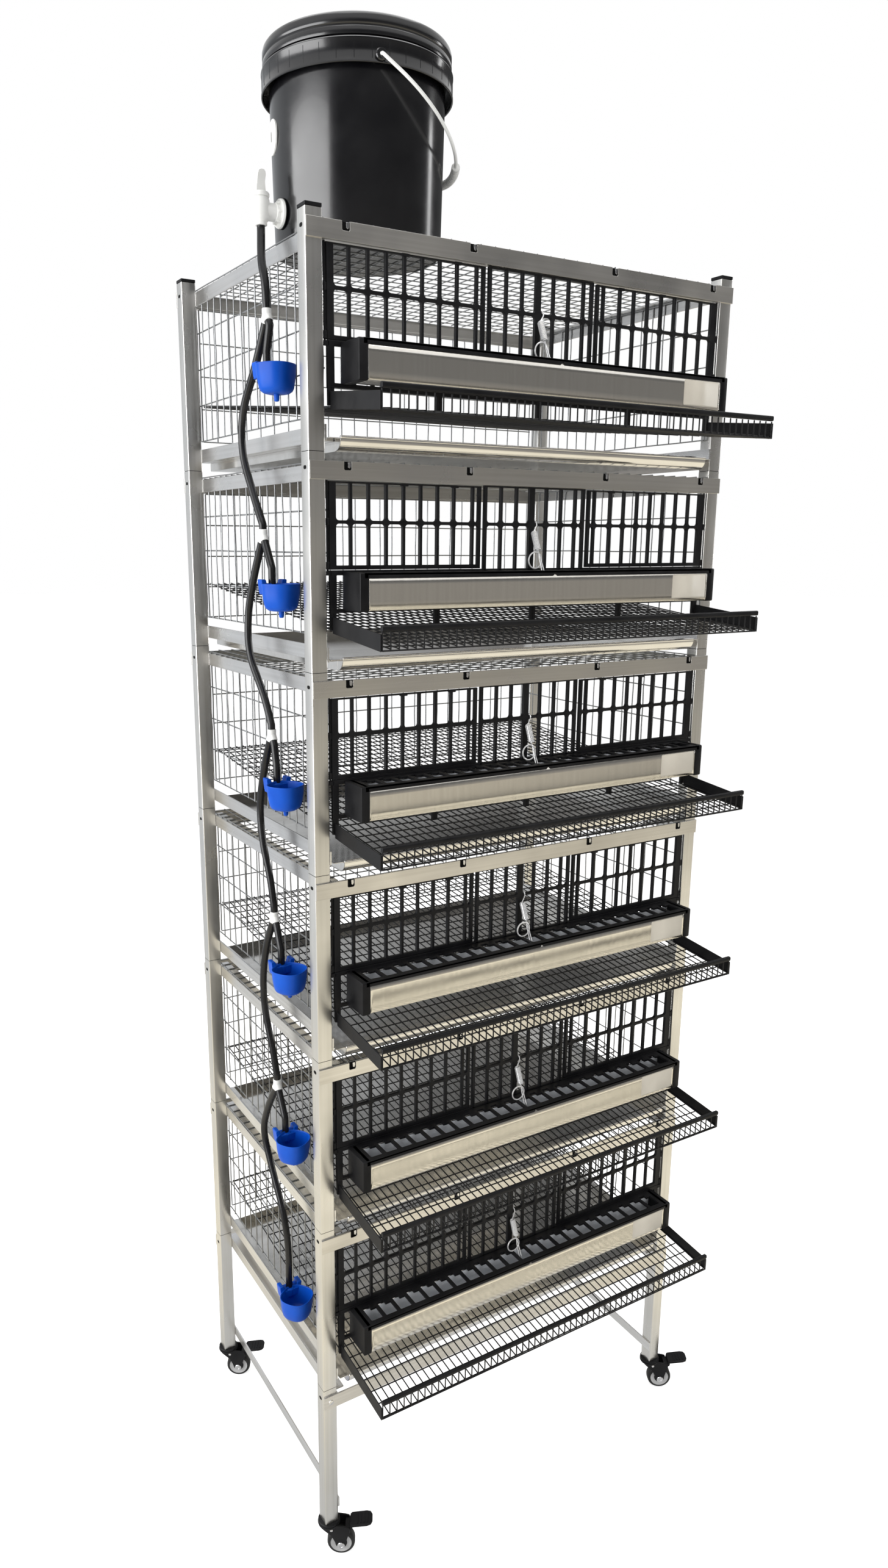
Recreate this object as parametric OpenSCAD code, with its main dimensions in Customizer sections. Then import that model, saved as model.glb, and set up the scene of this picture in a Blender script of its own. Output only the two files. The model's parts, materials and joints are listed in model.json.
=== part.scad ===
// Six-tier quail cage on casters, with roll-out egg trays, droppings trays, hanging feeders
// and a gravity water line from a pail on the top tier.
// Millimetres, +Z up. The origin lies on the floor under the middle of the four posts.
// +X is to the right and +Y to the back for someone who stands in front of the cage.

/* [Frame] */
// Width over the corner posts
frame_w = 800; // [740:5:900]
// Depth over the corner posts
frame_d = 515; // [470:5:600]
// Height from one tier to the next
tier_pitch = 310; // [306:1:350]
// Side of the square post tube
post_s = 25.4; // [24:0.1:30]
// Wall of the post tube
post_wall = 1.6; // [1.2:0.1:2.4]
// How far a post stands above its front rail
post_rise = 13; // [8:1:18]
// Top of the base rails above the leg ends
leg_h = 270; // [230:5:320]
// Height of the front and back rails
rail_h = 25; // [20:0.5:26]
// Sheet thickness of all rails
rail_t = 3; // [2:0.1:4]
// Height of the side rails
side_rail_h = 22; // [18:0.5:24]
// Width of the ledge on each side rail
ledge_w = 16; // [12:0.5:20]
// Top of the lower side rails below their tier's front rail top
runner_drop = 261; // [259:0.5:264]
// Height of the low braces between the legs
brace_h = 19; // [12:0.5:25]
// Underside of the low braces above the leg ends
brace_rise = 28; // [25:1:80]

/* [Wire mesh] */
// Wire of the side, back and roof mesh
wire = 2; // [1.4:0.1:2.6]
// Spacing of the roof wires
roof_pitch = 25.4; // [20:0.1:40]
// Spacing of the upright wires in the side and back walls
wall_pitch = 28.4; // [24:0.1:40]
// Spacing of the level wires in the side and back walls
wall_row = 60; // [45:1:80]
// Bottom edge of the wall mesh below the front rail top
wall_drop = 247; // [242:1:252]
// Wire of the floor mesh
floor_wire = 2.2; // [1.6:0.1:2.6]
// Spacing of the floor wires that run front to back
floor_pitch = 13.5; // [11:0.1:18]
// Spacing of the floor wires that run left to right
floor_row = 25.4; // [20:0.1:40]
// Fall of the floor towards the front, in degrees
floor_fall = 6; // [4.5:0.1:6.4]

/* [Egg tray] */
// How far the egg tray stands out in front of the posts
egg_reach = 138; // [115:1:150]
// Underside of the tray lip below the front rail top
lip_drop = 256; // [254:0.5:258]
// Height of the upright lip
lip_h = 27; // [20:0.5:32]
// Height of the strip on the lip
trim_h = 8; // [6:0.5:11]
// Height of the cheek plates at both ends of the tray
cheek_h = 24; // [18:0.5:28]
// Thickness of the cheek plates
cheek_t = 2; // [1.5:0.1:3]

/* [Front grille and doors] */
// Thickness of the moulded grille
grille_t = 6; // [5:0.5:7]
// Width of a grille bar
bar_w = 6; // [4.5:0.5:7]
// Spacing of the grille bars
bar_pitch = 29.6; // [27:0.1:31]
// Width of the outer stiles and of the centre bar
stile_w = 11; // [9:0.5:13]
// Spacing of the paired bars where two panels meet
pair_pitch = 12; // [11:0.5:13]
// Half width of the fixed middle panel
middle_half = 100; // [96:0.5:103]
// Offset of the thick bar from the middle of the cage
centre_bar_x = -8; // [-10:0.5:-6]
// Middle of the level bar below the front rail top
level_bar_drop = 83; // [70:1:100]
// Bottom of the doors below the front rail top
door_drop = 150; // [146:0.5:150]
// Bottom of the grille behind the feeder, below the front rail top
sill_drop = 212; // [208:0.5:215]
// Hinge pin diameter
pin_d = 3.2; // [2.6:0.1:3.4]
// Outer diameter of the hinge knuckles
knuckle_d = 6.4; // [5.8:0.1:6.6]
// Height of a hinge knuckle
knuckle_h = 10; // [7:0.5:14]

/* [Feeder] */
// Gap between the inner faces of the posts and the end caps of the feeder
feeder_gap = 26.6; // [22:0.1:54]
// Length of the feeder over its end caps
feeder_w = frame_w - 2 * (post_s + feeder_gap);
// How far the feeder stands out in front of the posts
feeder_reach = 52; // [46:0.5:60]
// Top of the feeder below the front rail top
feeder_drop = 153; // [152:0.5:156]
// Height of the end caps
feeder_h = 55; // [48:0.5:58]
// Thickness of an end cap
cap_t = 14; // [10:0.5:18]
// Sheet thickness of the trough and the fascia
trough_t = 1.2; // [0.8:0.1:2]
// Thickness of the moulded top
top_t = 4; // [3:0.5:5]
// Height of the trim over the fascia
fascia_trim_h = 8; // [6:0.5:12]
// Spacing of the feed slots
slot_pitch = 28.8; // [24:0.1:29]
// Width of a feed slot
slot_w = 22.5; // [16:0.5:23]
// Number of feed slots that fit between the end caps
slot_count = floor((feeder_w - 2 * cap_t) / slot_pitch);

/* [Feeder spring] */
// Spring wire
spring_wire = 1.4; // [1:0.1:1.6]
// Outer diameter of the spring body
spring_d = 8; // [7:0.1:9]
// Number of curls
spring_curls = 7; // [6:1:8]
// Pitch of the curls
spring_pitch = 3.6; // [3:0.1:4]
// Middle diameter of the pull ring
ring_d = 17; // [15:0.5:19]

/* [Droppings tray] */
// Sheet thickness of the tray
tray_t = 1.2; // [0.8:0.1:1.6]
// Depth of the pan
pan_h = 18; // [14:0.5:19]
// Diameter of the roll along the front edge
roll_d = 9; // [7:0.5:11]

/* [Water pail] */
// Outer diameter of the pail under its lid
pail_top_d = 262; // [250:1:270]
// How far the pail wall draws in from its top to its foot
pail_draft = 6; // [3:0.5:12]
// Outer diameter of the pail at its foot
pail_foot_d = pail_top_d - 2 * pail_draft;
// Wall of the pail
pail_wall = 2.5; // [2:0.1:4]
// Height of the pail without its lid
pail_h = 262; // [250:1:280]
// How far the collar stands out from the pail
collar_out = 11; // [8:0.5:12]
// Height of the collar
collar_h = 32; // [28:1:36]
// Outer diameter of the collar
collar_d = pail_top_d + 2 * collar_out;
// How far the lid stands out from the pail
lid_out = 8; // [7:0.5:9]
// Outer diameter of the lid
lid_d = pail_top_d + 2 * lid_out;
// Height of the lid skirt
lid_skirt_h = 23; // [20:1:24]
// Pail centre to the inner faces of the left posts
pail_inset = 140.6; // [138:0.1:152]
// Pail centre to the left of the middle of the cage
pail_x = frame_w / 2 - post_s - pail_inset;
// Pail centre in front of the middle of the cage
pail_y = 98; // [80:1:105]
// Wire of the bail handle
bail_wire = 4; // [3:0.1:5]
// Diameter of the bail grip
grip_d = 13; // [11:0.5:15]

/* [Valve] */
// Height of the valve axis above the pail foot
valve_z = 42; // [40:1:70]
// Diameter of the flange against the pail
valve_flange_d = 40; // [36:1:56]
// Diameter of the upright barrel
barrel_d = 27; // [24:0.5:30]
// Pail wall to the middle of the barrel
barrel_reach = 33; // [30:0.5:46]
// Height of the lever paddle
paddle_h = 30; // [24:1:44]

/* [Drinkers] */
// Outer diameter of the cup
cup_d = 60; // [52:1:64]
// Depth of the cup
cup_h = 44; // [40:1:52]
// Wall of the cup
cup_wall = 2.4; // [1.8:0.1:3.2]
// Cup rim below the front rail top
cup_drop = 172; // [168:1:180]
// Cup middle behind the front of the posts
cup_back = 100; // [90:1:120]
// Outer diameter of the hose
hose_d = 12.6; // [12:0.1:13]

/* [Casters] */
// Height from the floor to the leg ends
caster_h = 72; // [70:0.5:84]
// Wheel diameter
wheel_d = 50; // [46:1:52]
// Wheel width
wheel_w = 19; // [16:0.5:22]
// Axle diameter
axle_d = 8; // [6:0.5:9]
// Distance from the swivel axis to the axle
trail = 22; // [18:0.5:26]
// Direction that the casters trail, in degrees from +X
caster_heading = -30; // [-180:5:180]
// Swivel stem diameter
stem_d = 11; // [9:0.5:12]

/* [Hidden] */
tier_count = 6;
corner_names = ["front_left", "front_right", "back_left", "back_right"];
$fn = 48;

// One overrun for all cuts, and the gaps that the fits keep
cut = 1;
seat_gap = 0.3;
fit_gap = 0.1;
run_gap = 0.05;
layer_gap = 0.1;
seam_gap = 0.4;

aluminium = [0.78, 0.77, 0.74];
sheet_metal = [0.86, 0.86, 0.85];
galvanised = [0.75, 0.76, 0.77];
black_plastic = [0.07, 0.07, 0.08];
chrome = [0.85, 0.86, 0.88];
blue_plastic = [0.05, 0.25, 0.80];
white_plastic = [0.93, 0.93, 0.91];

half_w = frame_w / 2;
half_d = frame_d / 2;
in_x = half_w - post_s;
base_top = caster_h + leg_h;
top_tier = base_top + tier_count * tier_pitch;
function tier_top(k) = base_top + (tier_count + 1 - k) * tier_pitch;
tiers = [for (k = [1:tier_count]) k];
levels = [for (k = [1:tier_count + 1]) k];
corners = [[-1, -1], [1, -1], [-1, 1], [1, 1]];

// Post fittings
splice_l = 60;
cap_h = 5;
cap_plug_l = 16;

// Rails: a flange turned inwards at the bottom, and four lanced tabs along the front
flange_w = 10;
notch_w = 12;
notch_h = 12;
tab_l = 8;
tab_shares = [-0.425, -0.164, 0.172, 0.441];
side_rail_sink = 2;
rail_face = in_x - rail_t;

// Mesh panels stand just inside the rails
mesh_side_x = rail_face - seat_gap;
mesh_inset = 11;
mesh_back_inset = 5.5;
mesh_front = half_d - mesh_inset;
mesh_back_y = half_d - mesh_back_inset;
mesh_top_drop = side_rail_sink + rail_t + seat_gap;
mesh_back_top_drop = rail_h + seat_gap;
wall_inner_x = mesh_side_x - 2 * wire - layer_gap;
roof_side_gap = 1;
roof_end_gap = 0.5;

// Floor: runs from the lip up to the back wall, with the egg tray in front of the grille
lip_y = -half_d - egg_reach;
floor_side_gap = 4.1;
floor_half_w = wall_inner_x - floor_side_gap;
floor_back_y = mesh_back_y - 2 * wire - layer_gap - 2 * seat_gap;
floor_l = (floor_back_y - lip_y) / cos(floor_fall);
floor_stack = 2 * floor_wire + layer_gap;
lip_gap = seat_gap + floor_stack * sin(floor_fall);
trim_t = 7;
trim_bevel = 2;
function floor_top_drop(y) = lip_drop - (y - lip_y) * tan(floor_fall) - floor_stack / cos(floor_fall);

// Grille plane, doors and hinge pins
grille_sink = 1.5;
grille_front = -half_d + grille_sink;
grille_mid = grille_front + grille_t / 2;
cell_chamfer = 3;
door_top_gap = 2;
pin_inset = 4;
stile_inset = 2.6;
sill_gap = 2;
door_top_drop = rail_h + door_top_gap;
pin_x = in_x - pin_inset;
door_outer = pin_x - stile_inset;
door_inner = middle_half + pair_pitch - bar_w;
sill_top_drop = door_drop + sill_gap;
bay_leg_share = 0.5;
pin_seat = 3;
hook_w = 13;
hook_h = 4;
knuckle_rise = 1;
knuckle_drops = [level_bar_drop, door_drop - knuckle_h / 2 - knuckle_rise];

// Middles of the upright bars: as many at the pitch as fit each panel
left_bars = floor((middle_half + centre_bar_x) / bar_pitch);
right_bars = floor((middle_half - centre_bar_x - 2 * bar_w) / bar_pitch);
middle_bars = concat([for (i = [-left_bars:right_bars]) centre_bar_x + i * bar_pitch],
                     [middle_half - bar_w / 2]);
function bar_half(x) = x == centre_bar_x ? stile_w / 2 : bar_w / 2;
sill_count = floor((door_outer - stile_w - 2 * bar_w) / bar_pitch);
sill_bars = [for (i = [-sill_count:sill_count]) i * bar_pitch];
door_first = door_outer - stile_w / 2;
door_count = floor((door_first - door_inner - pair_pitch - 5 / 2 * bar_w) / bar_pitch);
door_bars = [for (i = [1:door_count]) door_first - i * bar_pitch];
hook_bars = [floor((door_count - 1) / 2), door_count - 1];

// Feeder: its back stands against the grille, and pegs rest on the sill bar
feeder_front = -half_d - feeder_reach;
feeder_back = grille_front - seat_gap;
fascia_half = feeder_w / 2 - cap_t - seat_gap;
trough_lift = 2;
trough_bottom_drop = feeder_drop + feeder_h - trough_lift;
trough_back_gap = 3;
trough_back_rise = feeder_h - trough_lift - top_t - trough_back_gap;
slot_front_rim = 9;
slot_back_rim = 10;
slot_step = 8;
slot_step_share = 0.55;
peg_s = 8;

// Droppings tray: its side flanges hang on the runner ledges
tray_flange_drop = runner_drop + side_rail_h - rail_t - seat_gap / 2;
tray_side_gap = 1;
tray_proud = 6;
tray_back_gap = 14;
tray_half = rail_face - tray_side_gap;
pan_half = rail_face - ledge_w - tray_side_gap;
tray_front = -half_d - tray_proud;
tray_back = half_d - tray_back_gap;

// Pail, lid and valve
pail_foot_z = top_tier - side_rail_sink + 2 * wire + layer_gap + layer_gap;
pail_c = [-pail_x, -pail_y];
lid_t = 4;
lid_gap = 2;
collar_drop = lid_skirt_h - lid_t + lid_gap;
collar_top = pail_h - collar_drop;
collar_wall = 2.5;
collar_web = 4;
collar_bevel = 2;
ear_d = 16;
ear_drop = collar_drop + collar_h - ear_d / 2 - collar_bevel;
ear_z = pail_h - ear_drop;
ear_turn = 255;
ear_out = 3;
ear_r = collar_d / 2 + ear_out;
ear_bore_l = 7;
bail_gap = 0.5;
bail_r = ear_r + bail_wire / 2 + bail_gap;
bail_arm = 30;
bail_hang = 35;
grip_span = 38;
pail_foot_t = 3;
lid_recess = 10;
lid_rim_w = 14;
lid_groove_shares = [0.28, 0.36, 0.62, 0.70];
valve_r = pail_r(valve_z + valve_flange_d / 2) + seat_gap;
valve_pipe_d = 24;
spigot_d = 22;
nut_d = 34;
nut_t = 7;
nut_wall_r = pail_r(valve_z - nut_d / 2) - pail_wall;
spigot_l = valve_r + seat_gap - sqrt(nut_wall_r * nut_wall_r - nut_d * nut_d / 4);
flange_t = 6;
barrel_top = 17;
barrel_foot = 20;
lever_hub_h = 7;
lever_pin_d = 9;
lever_pin_l = 14;
paddle_w = 17;
paddle_tip_share = 0.7;
paddle_t = 8;

// Cups hang on the left wall mesh, with the hose neck behind the bowl
cup_x = -(mesh_side_x + cup_d / 2 + seat_gap);
cup_y = -half_d + cup_back;
neck_back = 32;
neck_d = 24;
neck_h = 10;
neck_block = [38, 38, 26];
neck_reach = 10;
horn_w = 6;
horn_l = 16;
horn_h = 12;
horn_lean = 2;
nipple_d = 8;
nipple_h = 10;
cup_r_shares = [0.28, 0.42, 0.48];
cup_z_shares = [0.8, 0.4];

// Water line: the route's points are chosen by eye, to the left of the posts, behind the
// necks of the cups and above the tier's rail top
hose_x = -half_w;
neck_y = cup_y + neck_back;
tee_back = [0, 34, 20, 28, 34];
tee_y = [for (b = tee_back) neck_y + b];
tee_drop = 100;
tee_d = 14;
tee_h = 16;
tee_leg = 11;
tee_lean = 32;
tee_fork_drop = tee_drop + tee_h / 2 - tee_d / 2;
function tee_end(k, s) = [hose_x, tee_y[k - 1], -tee_fork_drop] + (tee_leg + seat_gap) * tee_way(s);
function tee_way(s) = [0, s * sin(tee_lean), -cos(tee_lean)];
function tee_inlet(k) = [hose_x, tee_y[k - 1], -tee_drop + tee_h / 2 + seat_gap];
neck_end = [cup_x, neck_y, -cup_drop + neck_h + 2 * cup_wall + seat_gap];
supply_route = [[0, 14, -25], [0, 4, -55]];
loop_routes = [
    [[-2, 42, -165], [-3, 92, -225], [-3, 98, -285], [-1, 68, -345]],
    [[-2, 74, -172], [-3, 96, -230], [-3, 92, -290], [-1, 46, -350]],
    [[-2, 52, -168], [-3, 68, -230], [-3, 60, -290], [-1, 40, -345]],
    [[-2, 62, -168], [-3, 76, -230], [-3, 70, -290], [-1, 50, -345]],
    [[-2, 76, -170], [-3, 92, -222], [-2, 64, -280], [-2, 18, -345], [-2, 0, -405]]];
function on_line(route) = [for (p = route) [hose_x, neck_y, 0] + p];
hose_sides = 10;
hose_lead = hose_d / 2;

// Casters
fork_gap = 2;
fork_wall = 3;
raceway_d = 40;
raceway_h = 9;
hub_d = 20;
hub_w = 22;
pedal_l = 46;
pedal_w = 30;
pedal_t = 5;
pedal_pin_d = 5;
pedal_pin_back = 11;
pedal_pin_drop = 16;
pedal_pin_x = trail + pedal_pin_back;
pedal_pin_z = caster_h - pedal_pin_drop;
tread_share = 1.2;
fork_neck_share = 0.36;
rim_share = 0.38;
pedal_rise = 12;
axle_z = wheel_d / 2;
socket_l = 30;
tyre_round = 4;
boss_d = 14;
boss_t = 2;

// Shared shapes

// A flat comb, w across and d long: bars of width b at the pitch p, all joined to one end bar
module comb(w, d, p, b) {
    count = max(1, round((w - b) / p));
    step = (w - b) / count;
    teeth = [for (i = [0:count])
        let (x = -w / 2 + i * step)
        each [[x, b], [x, d], [x + b, d], [x + b, b]]];
    polygon(concat([[-w / 2, 0]], [for (i = [1:len(teeth) - 2]) teeth[i]], [[w / 2, 0]]));
}

// A grille cell with chamfered corners, from its lower left corner
module cell(w, h) {
    c = min(cell_chamfer, w / 3, h / 3);
    polygon([[c, 0], [w - c, 0], [w, c], [w, h - c], [w - c, h], [c, h], [0, h - c], [0, c]]);
}

// Stands an outline drawn in X and Z upright, from the front face y backwards
module upright(y, t)
    translate([0, y + t, 0])
        rotate([90, 0, 0])
            linear_extrude(t)
                children();

// Draws an outline of Y and Z along X, centred on x = 0
module along_x(l)
    rotate([90, 0, 90])
        translate([0, 0, -l / 2])
            linear_extrude(l)
                children();

module box(lo, hi)
    translate(lo)
        cube(hi - lo);

module at_corner(c)
    translate([c[0] * (half_w - post_s / 2), c[1] * (half_d - post_s / 2), 0])
        children();

// Sweeps: points along a route, and a closed tube of flat triangles round them
function unit(v) = v / norm(v);
function spline(a, b, c, d, t) =
    ((b * 2) + (c - a) * t + (a * 2 - b * 5 + c * 4 - d) * t * t + (b * 3 - a - c * 3 + d) * t * t * t) / 2;
function smooth(p, n) = concat(
    [for (i = [0:len(p) - 2]) for (j = [0:n - 1])
        spline(p[max(i - 1, 0)], p[i], p[i + 1], p[min(i + 2, len(p) - 1)], j / n)],
    [p[len(p) - 1]]);
function heading(p, i) = unit(p[min(i + 1, len(p) - 1)] - p[max(i - 1, 0)]);
function carry(u, h) = unit(u - h * (u * h));
function frames(p, i, u) = i >= len(p) ? [] : concat([carry(u, heading(p, i))],
    frames(p, i + 1, carry(u, heading(p, i))));
module tube(p, d, sides, up) {
    u = frames(p, 0, up);
    n = len(p);
    pts = [for (i = [0:n - 1]) for (s = [0:sides - 1])
        let (a = 360 * s / sides, h = heading(p, i))
        p[i] + d / 2 * (u[i] * cos(a) + cross(h, u[i]) * sin(a))];
    walls = [for (i = [0:n - 2]) for (s = [0:sides - 1])
        let (a = i * sides + s, b = i * sides + (s + 1) % sides)
        each [[a, a + sides, b], [b, a + sides, b + sides]]];
    ends = [for (s = [1:sides - 2]) each [[0, s, s + 1],
        [(n - 1) * sides, (n - 1) * sides + s + 1, (n - 1) * sides + s]]];
    polyhedron(pts, concat(walls, ends));
}

// Frame

module post_tube(z0, z1)
    difference() {
        box([-post_s / 2, -post_s / 2, z0], [post_s / 2, post_s / 2, z1]);
        box([post_wall - post_s / 2, post_wall - post_s / 2, z0 - cut],
            [post_s / 2 - post_wall, post_s / 2 - post_wall, z1 + cut]);
    }

module corner_posts()
    color(aluminium)
    for (c = corners)
        at_corner(c) {
            post_tube(caster_h, base_top + post_rise);
            for (k = tiers)
                post_tube(tier_top(k + 1) + post_rise + seam_gap, tier_top(k) + post_rise);
        }

module post_plugs() {
    s = post_s / 2 - post_wall - fit_gap;
    top = top_tier + post_rise;
    color(black_plastic)
    for (c = corners)
        at_corner(c) {
            for (k = tiers)
                box([-s, -s, tier_top(k + 1) + post_rise - splice_l / 2],
                    [s, s, tier_top(k + 1) + post_rise + splice_l / 2]);
            box([-post_s / 2, -post_s / 2, top], [post_s / 2, post_s / 2, top + cap_h]);
            box([-s, -s, top - cap_plug_l], [s, s, top]);
            difference() {
                box([-s, -s, caster_h], [s, s, caster_h + socket_l]);
                translate([0, 0, caster_h - cut])
                    cylinder(d = stem_d + 2 * run_gap, h = socket_l + 2 * cut);
            }
        }
}

// Front rail of one level, with its top at z; tabs hold the roof mesh on the tiers
module front_rail(z, tabs) {
    difference() {
        union() {
            box([-half_w, -half_d - rail_t, z - rail_h], [half_w, -half_d, z]);
            box([-(rail_face - fit_gap), -half_d - rail_t, z - rail_h],
                [rail_face - fit_gap, -half_d + flange_w, z - rail_h + rail_t]);
            if (tabs)
                for (s = tab_shares)
                    box([s * frame_w - notch_w / 2, -half_d - rail_t, z - notch_h - rail_t],
                        [s * frame_w + notch_w / 2, -half_d + tab_l, z - notch_h]);
        }
        if (tabs)
            for (s = tab_shares)
                box([s * frame_w - notch_w / 2, -half_d - rail_t - cut, z - notch_h],
                    [s * frame_w + notch_w / 2, -half_d + cut, z + cut]);
    }
}

module cross_rails()
    color(aluminium)
    for (k = levels) {
        front_rail(tier_top(k), k <= tier_count);
        mirror([0, 1, 0])
            front_rail(tier_top(k), false);
    }

// Angle along one side: an upright leg against the posts and a ledge turned inwards
module side_angle(top, ledge_at_top) {
    ledge = ledge_at_top ? top - rail_t : top - side_rail_h;
    for (s = [-1, 1])
        scale([s, 1, 1]) {
            box([rail_face, -half_d, top - side_rail_h], [in_x, half_d, top]);
            box([rail_face - ledge_w, -mesh_front, ledge], [rail_face + fit_gap, mesh_front, ledge + rail_t]);
        }
}

module side_rails()
    color(aluminium) {
        for (k = levels)
            side_angle(tier_top(k) - side_rail_sink, true);
        for (k = tiers)
            side_angle(tier_top(k) - runner_drop, false);
        for (s = [-1, 1])
            scale([s, 1, 1])
                box([rail_face, -half_d, caster_h + brace_rise],
                    [in_x, half_d, caster_h + brace_rise + brace_h]);
    }

// Wire mesh: each panel is two layers of parallel wires that lie on each other

module roof_mesh() {
    w = 2 * (in_x - roof_side_gap);
    d = frame_d - 2 * roof_end_gap;
    color(galvanised)
    for (k = tiers)
        translate([0, 0, tier_top(k) - side_rail_sink]) {
            translate([w / 2, 0, 0])
                rotate([0, 0, 90])
                    linear_extrude(wire)
                        comb(d, w, roof_pitch, wire);
            translate([0, -d / 2, wire + layer_gap])
                linear_extrude(wire)
                    comb(w, d, roof_pitch, wire);
        }
}

module wall_panel(w, h, t0) {
    upright(t0, wire)
        comb(w, h, wall_pitch, wire);
    upright(t0 - wire - layer_gap, wire)
        translate([0, h / 2])
            rotate(90)
                translate([0, -w / 2])
                    comb(h, w, wall_row, wire);
}

module wall_mesh() {
    side_h = wall_drop - mesh_top_drop;
    back_h = wall_drop - mesh_back_top_drop;
    color(galvanised)
    for (k = tiers)
        translate([0, 0, tier_top(k) - wall_drop]) {
            for (turn = [-90, 90])
                rotate([0, 0, turn])
                    wall_panel(2 * mesh_front, side_h, mesh_side_x - wire);
            wall_panel(2 * (wall_inner_x - 2 * seat_gap), back_h, mesh_back_y - wire);
        }
}

module floor_mesh() {
    w = 2 * floor_half_w;
    color(black_plastic)
    for (k = tiers)
        translate([0, lip_y, tier_top(k) - lip_drop]) {
            rotate([floor_fall, 0, 0]) {
                translate([0, floor_l / 2, 0])
                    rotate([0, 0, 90])
                        translate([0, -w / 2, 0])
                            linear_extrude(floor_wire)
                                comb(floor_l, w, floor_row, floor_wire);
                translate([0, 0, floor_wire + layer_gap])
                    linear_extrude(floor_wire)
                        comb(w, floor_l, floor_pitch, floor_wire);
            }
            upright(-floor_wire - lip_gap, floor_wire)
                comb(w, lip_h, floor_pitch, floor_wire);
        }
}

module egg_tray_edging() {
    back = grille_front - seat_gap - lip_y;
    rise = back * tan(floor_fall);
    front = -floor_wire - lip_gap;
    color(black_plastic)
    for (k = tiers)
        translate([0, lip_y, tier_top(k) - lip_drop]) {
            for (s = [-1, 1])
                translate([s * (floor_half_w + seat_gap + cheek_t / 2), 0, 0])
                    along_x(cheek_t)
                        polygon([[front, 0], [back, rise], [back, rise + cheek_h], [front, cheek_h]]);
            translate([0, front + floor_wire / 2, lip_h + fit_gap])
                along_x(2 * floor_half_w)
                    polygon([[-trim_t / 2, 0], [trim_t / 2, 0], [trim_t / 2, trim_h - trim_bevel],
                             [trim_t / 2 - trim_bevel, trim_h], [trim_bevel - trim_t / 2, trim_h],
                             [-trim_t / 2, trim_h - trim_bevel]]);
        }
}

// Grille: the fixed middle panel, the grille behind the feeder and the hinge pins of both doors

module middle_panel_outline()
    difference() {
        translate([-middle_half, -sill_top_drop - bar_w])
            square([2 * middle_half, sill_top_drop + bar_w - rail_h - seat_gap]);
        for (i = [0:len(middle_bars) - 2]) {
            x0 = middle_bars[i] + bar_half(middle_bars[i]);
            x1 = middle_bars[i + 1] - bar_half(middle_bars[i + 1]);
            translate([x0, -sill_top_drop])
                cell(x1 - x0, sill_top_drop - level_bar_drop - bar_w / 2);
            translate([x0, -level_bar_drop + bar_w / 2])
                cell(x1 - x0, level_bar_drop - bar_w / 2 - door_top_drop - bar_w);
        }
    }

module sill_outline() {
    h = sill_drop - sill_top_drop;
    foot = floor_top_drop(grille_front + grille_t) - seat_gap;
    difference() {
        translate([-door_outer, -sill_drop])
            square([2 * door_outer, h]);
        edges = concat([-door_outer + stile_w - bar_w / 2], sill_bars, [door_outer - stile_w + bar_w / 2]);
        for (i = [0:len(edges) - 2])
            translate([edges[i] + bar_w / 2, -sill_drop + bar_w])
                square([edges[i + 1] - edges[i] - bar_w, h - 2 * bar_w]);
    }
    for (x = [-door_outer + stile_w / 2, -door_outer * bay_leg_share, 0, door_outer * bay_leg_share,
              door_outer - stile_w / 2])
        for (s = [-1, 1])
            translate([x + s * (stile_w - bar_w) / 2 - bar_w / 2, -foot])
                square([bar_w, foot - sill_drop + bar_w / 2]);
}

module front_grilles()
    color(black_plastic)
    for (k = tiers)
        translate([0, 0, tier_top(k)]) {
            upright(grille_front, grille_t) {
                middle_panel_outline();
                sill_outline();
            }
            for (s = [-1, 1]) {
                box([s * (door_outer + pin_x) / 2 - (pin_x - door_outer + 2 * pin_seat) / 2,
                     grille_front, -sill_top_drop - bar_w],
                    [s * (door_outer + pin_x) / 2 + (pin_x - door_outer + 2 * pin_seat) / 2 - fit_gap,
                     grille_front + grille_t, -sill_top_drop]);
                translate([s * pin_x, grille_mid, -sill_top_drop - pin_seat])
                    cylinder(d = pin_d, h = sill_top_drop + pin_seat - rail_h - seat_gap);
            }
        }

// Door on the right-hand side: hinged at its outer stile, open cells above and below the level bar
module door_outline() {
    lower = level_bar_drop + bar_w / 2;
    upper = level_bar_drop - bar_w / 2;
    edges = concat([door_inner + bar_w / 2, door_inner + pair_pitch + bar_w / 2],
                   [for (i = [door_count - 1:-1:0]) door_bars[i]], [door_outer - stile_w + bar_w / 2]);
    difference() {
        translate([door_inner, -door_drop])
            square([door_outer - door_inner, door_drop - door_top_drop]);
        for (i = [0:len(edges) - 2]) {
            w = edges[i + 1] - edges[i] - bar_w;
            translate([edges[i] + bar_w / 2, -door_drop + bar_w])
                cell(w, door_drop - lower - bar_w);
            translate([edges[i] + bar_w / 2, -upper])
                cell(w, upper - door_top_drop - hook_h);
        }
    }
}

module door(k)
    color(black_plastic)
    translate([0, 0, tier_top(k)])
        difference() {
            union() {
                upright(grille_front, grille_t)
                    door_outline();
                for (d = knuckle_drops) {
                    translate([pin_x, grille_mid, -d - knuckle_h / 2])
                        cylinder(d = knuckle_d, h = knuckle_h);
                    box([door_outer - bar_w / 2, grille_mid - knuckle_d / 3, -d - knuckle_h / 2],
                        [pin_x, grille_mid + knuckle_d / 3, -d + knuckle_h / 2]);
                }
                for (i = hook_bars)
                    box([door_bars[i] - hook_w / 2, grille_front - hook_h / 2, -door_top_drop - hook_h],
                        [door_bars[i] + hook_w / 2, grille_mid, -door_top_drop]);
            }
            for (d = knuckle_drops)
                translate([pin_x, grille_mid, -d - knuckle_h])
                    cylinder(d = pin_d + 2 * run_gap, h = 2 * knuckle_h);
        }

// Feeder

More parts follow.
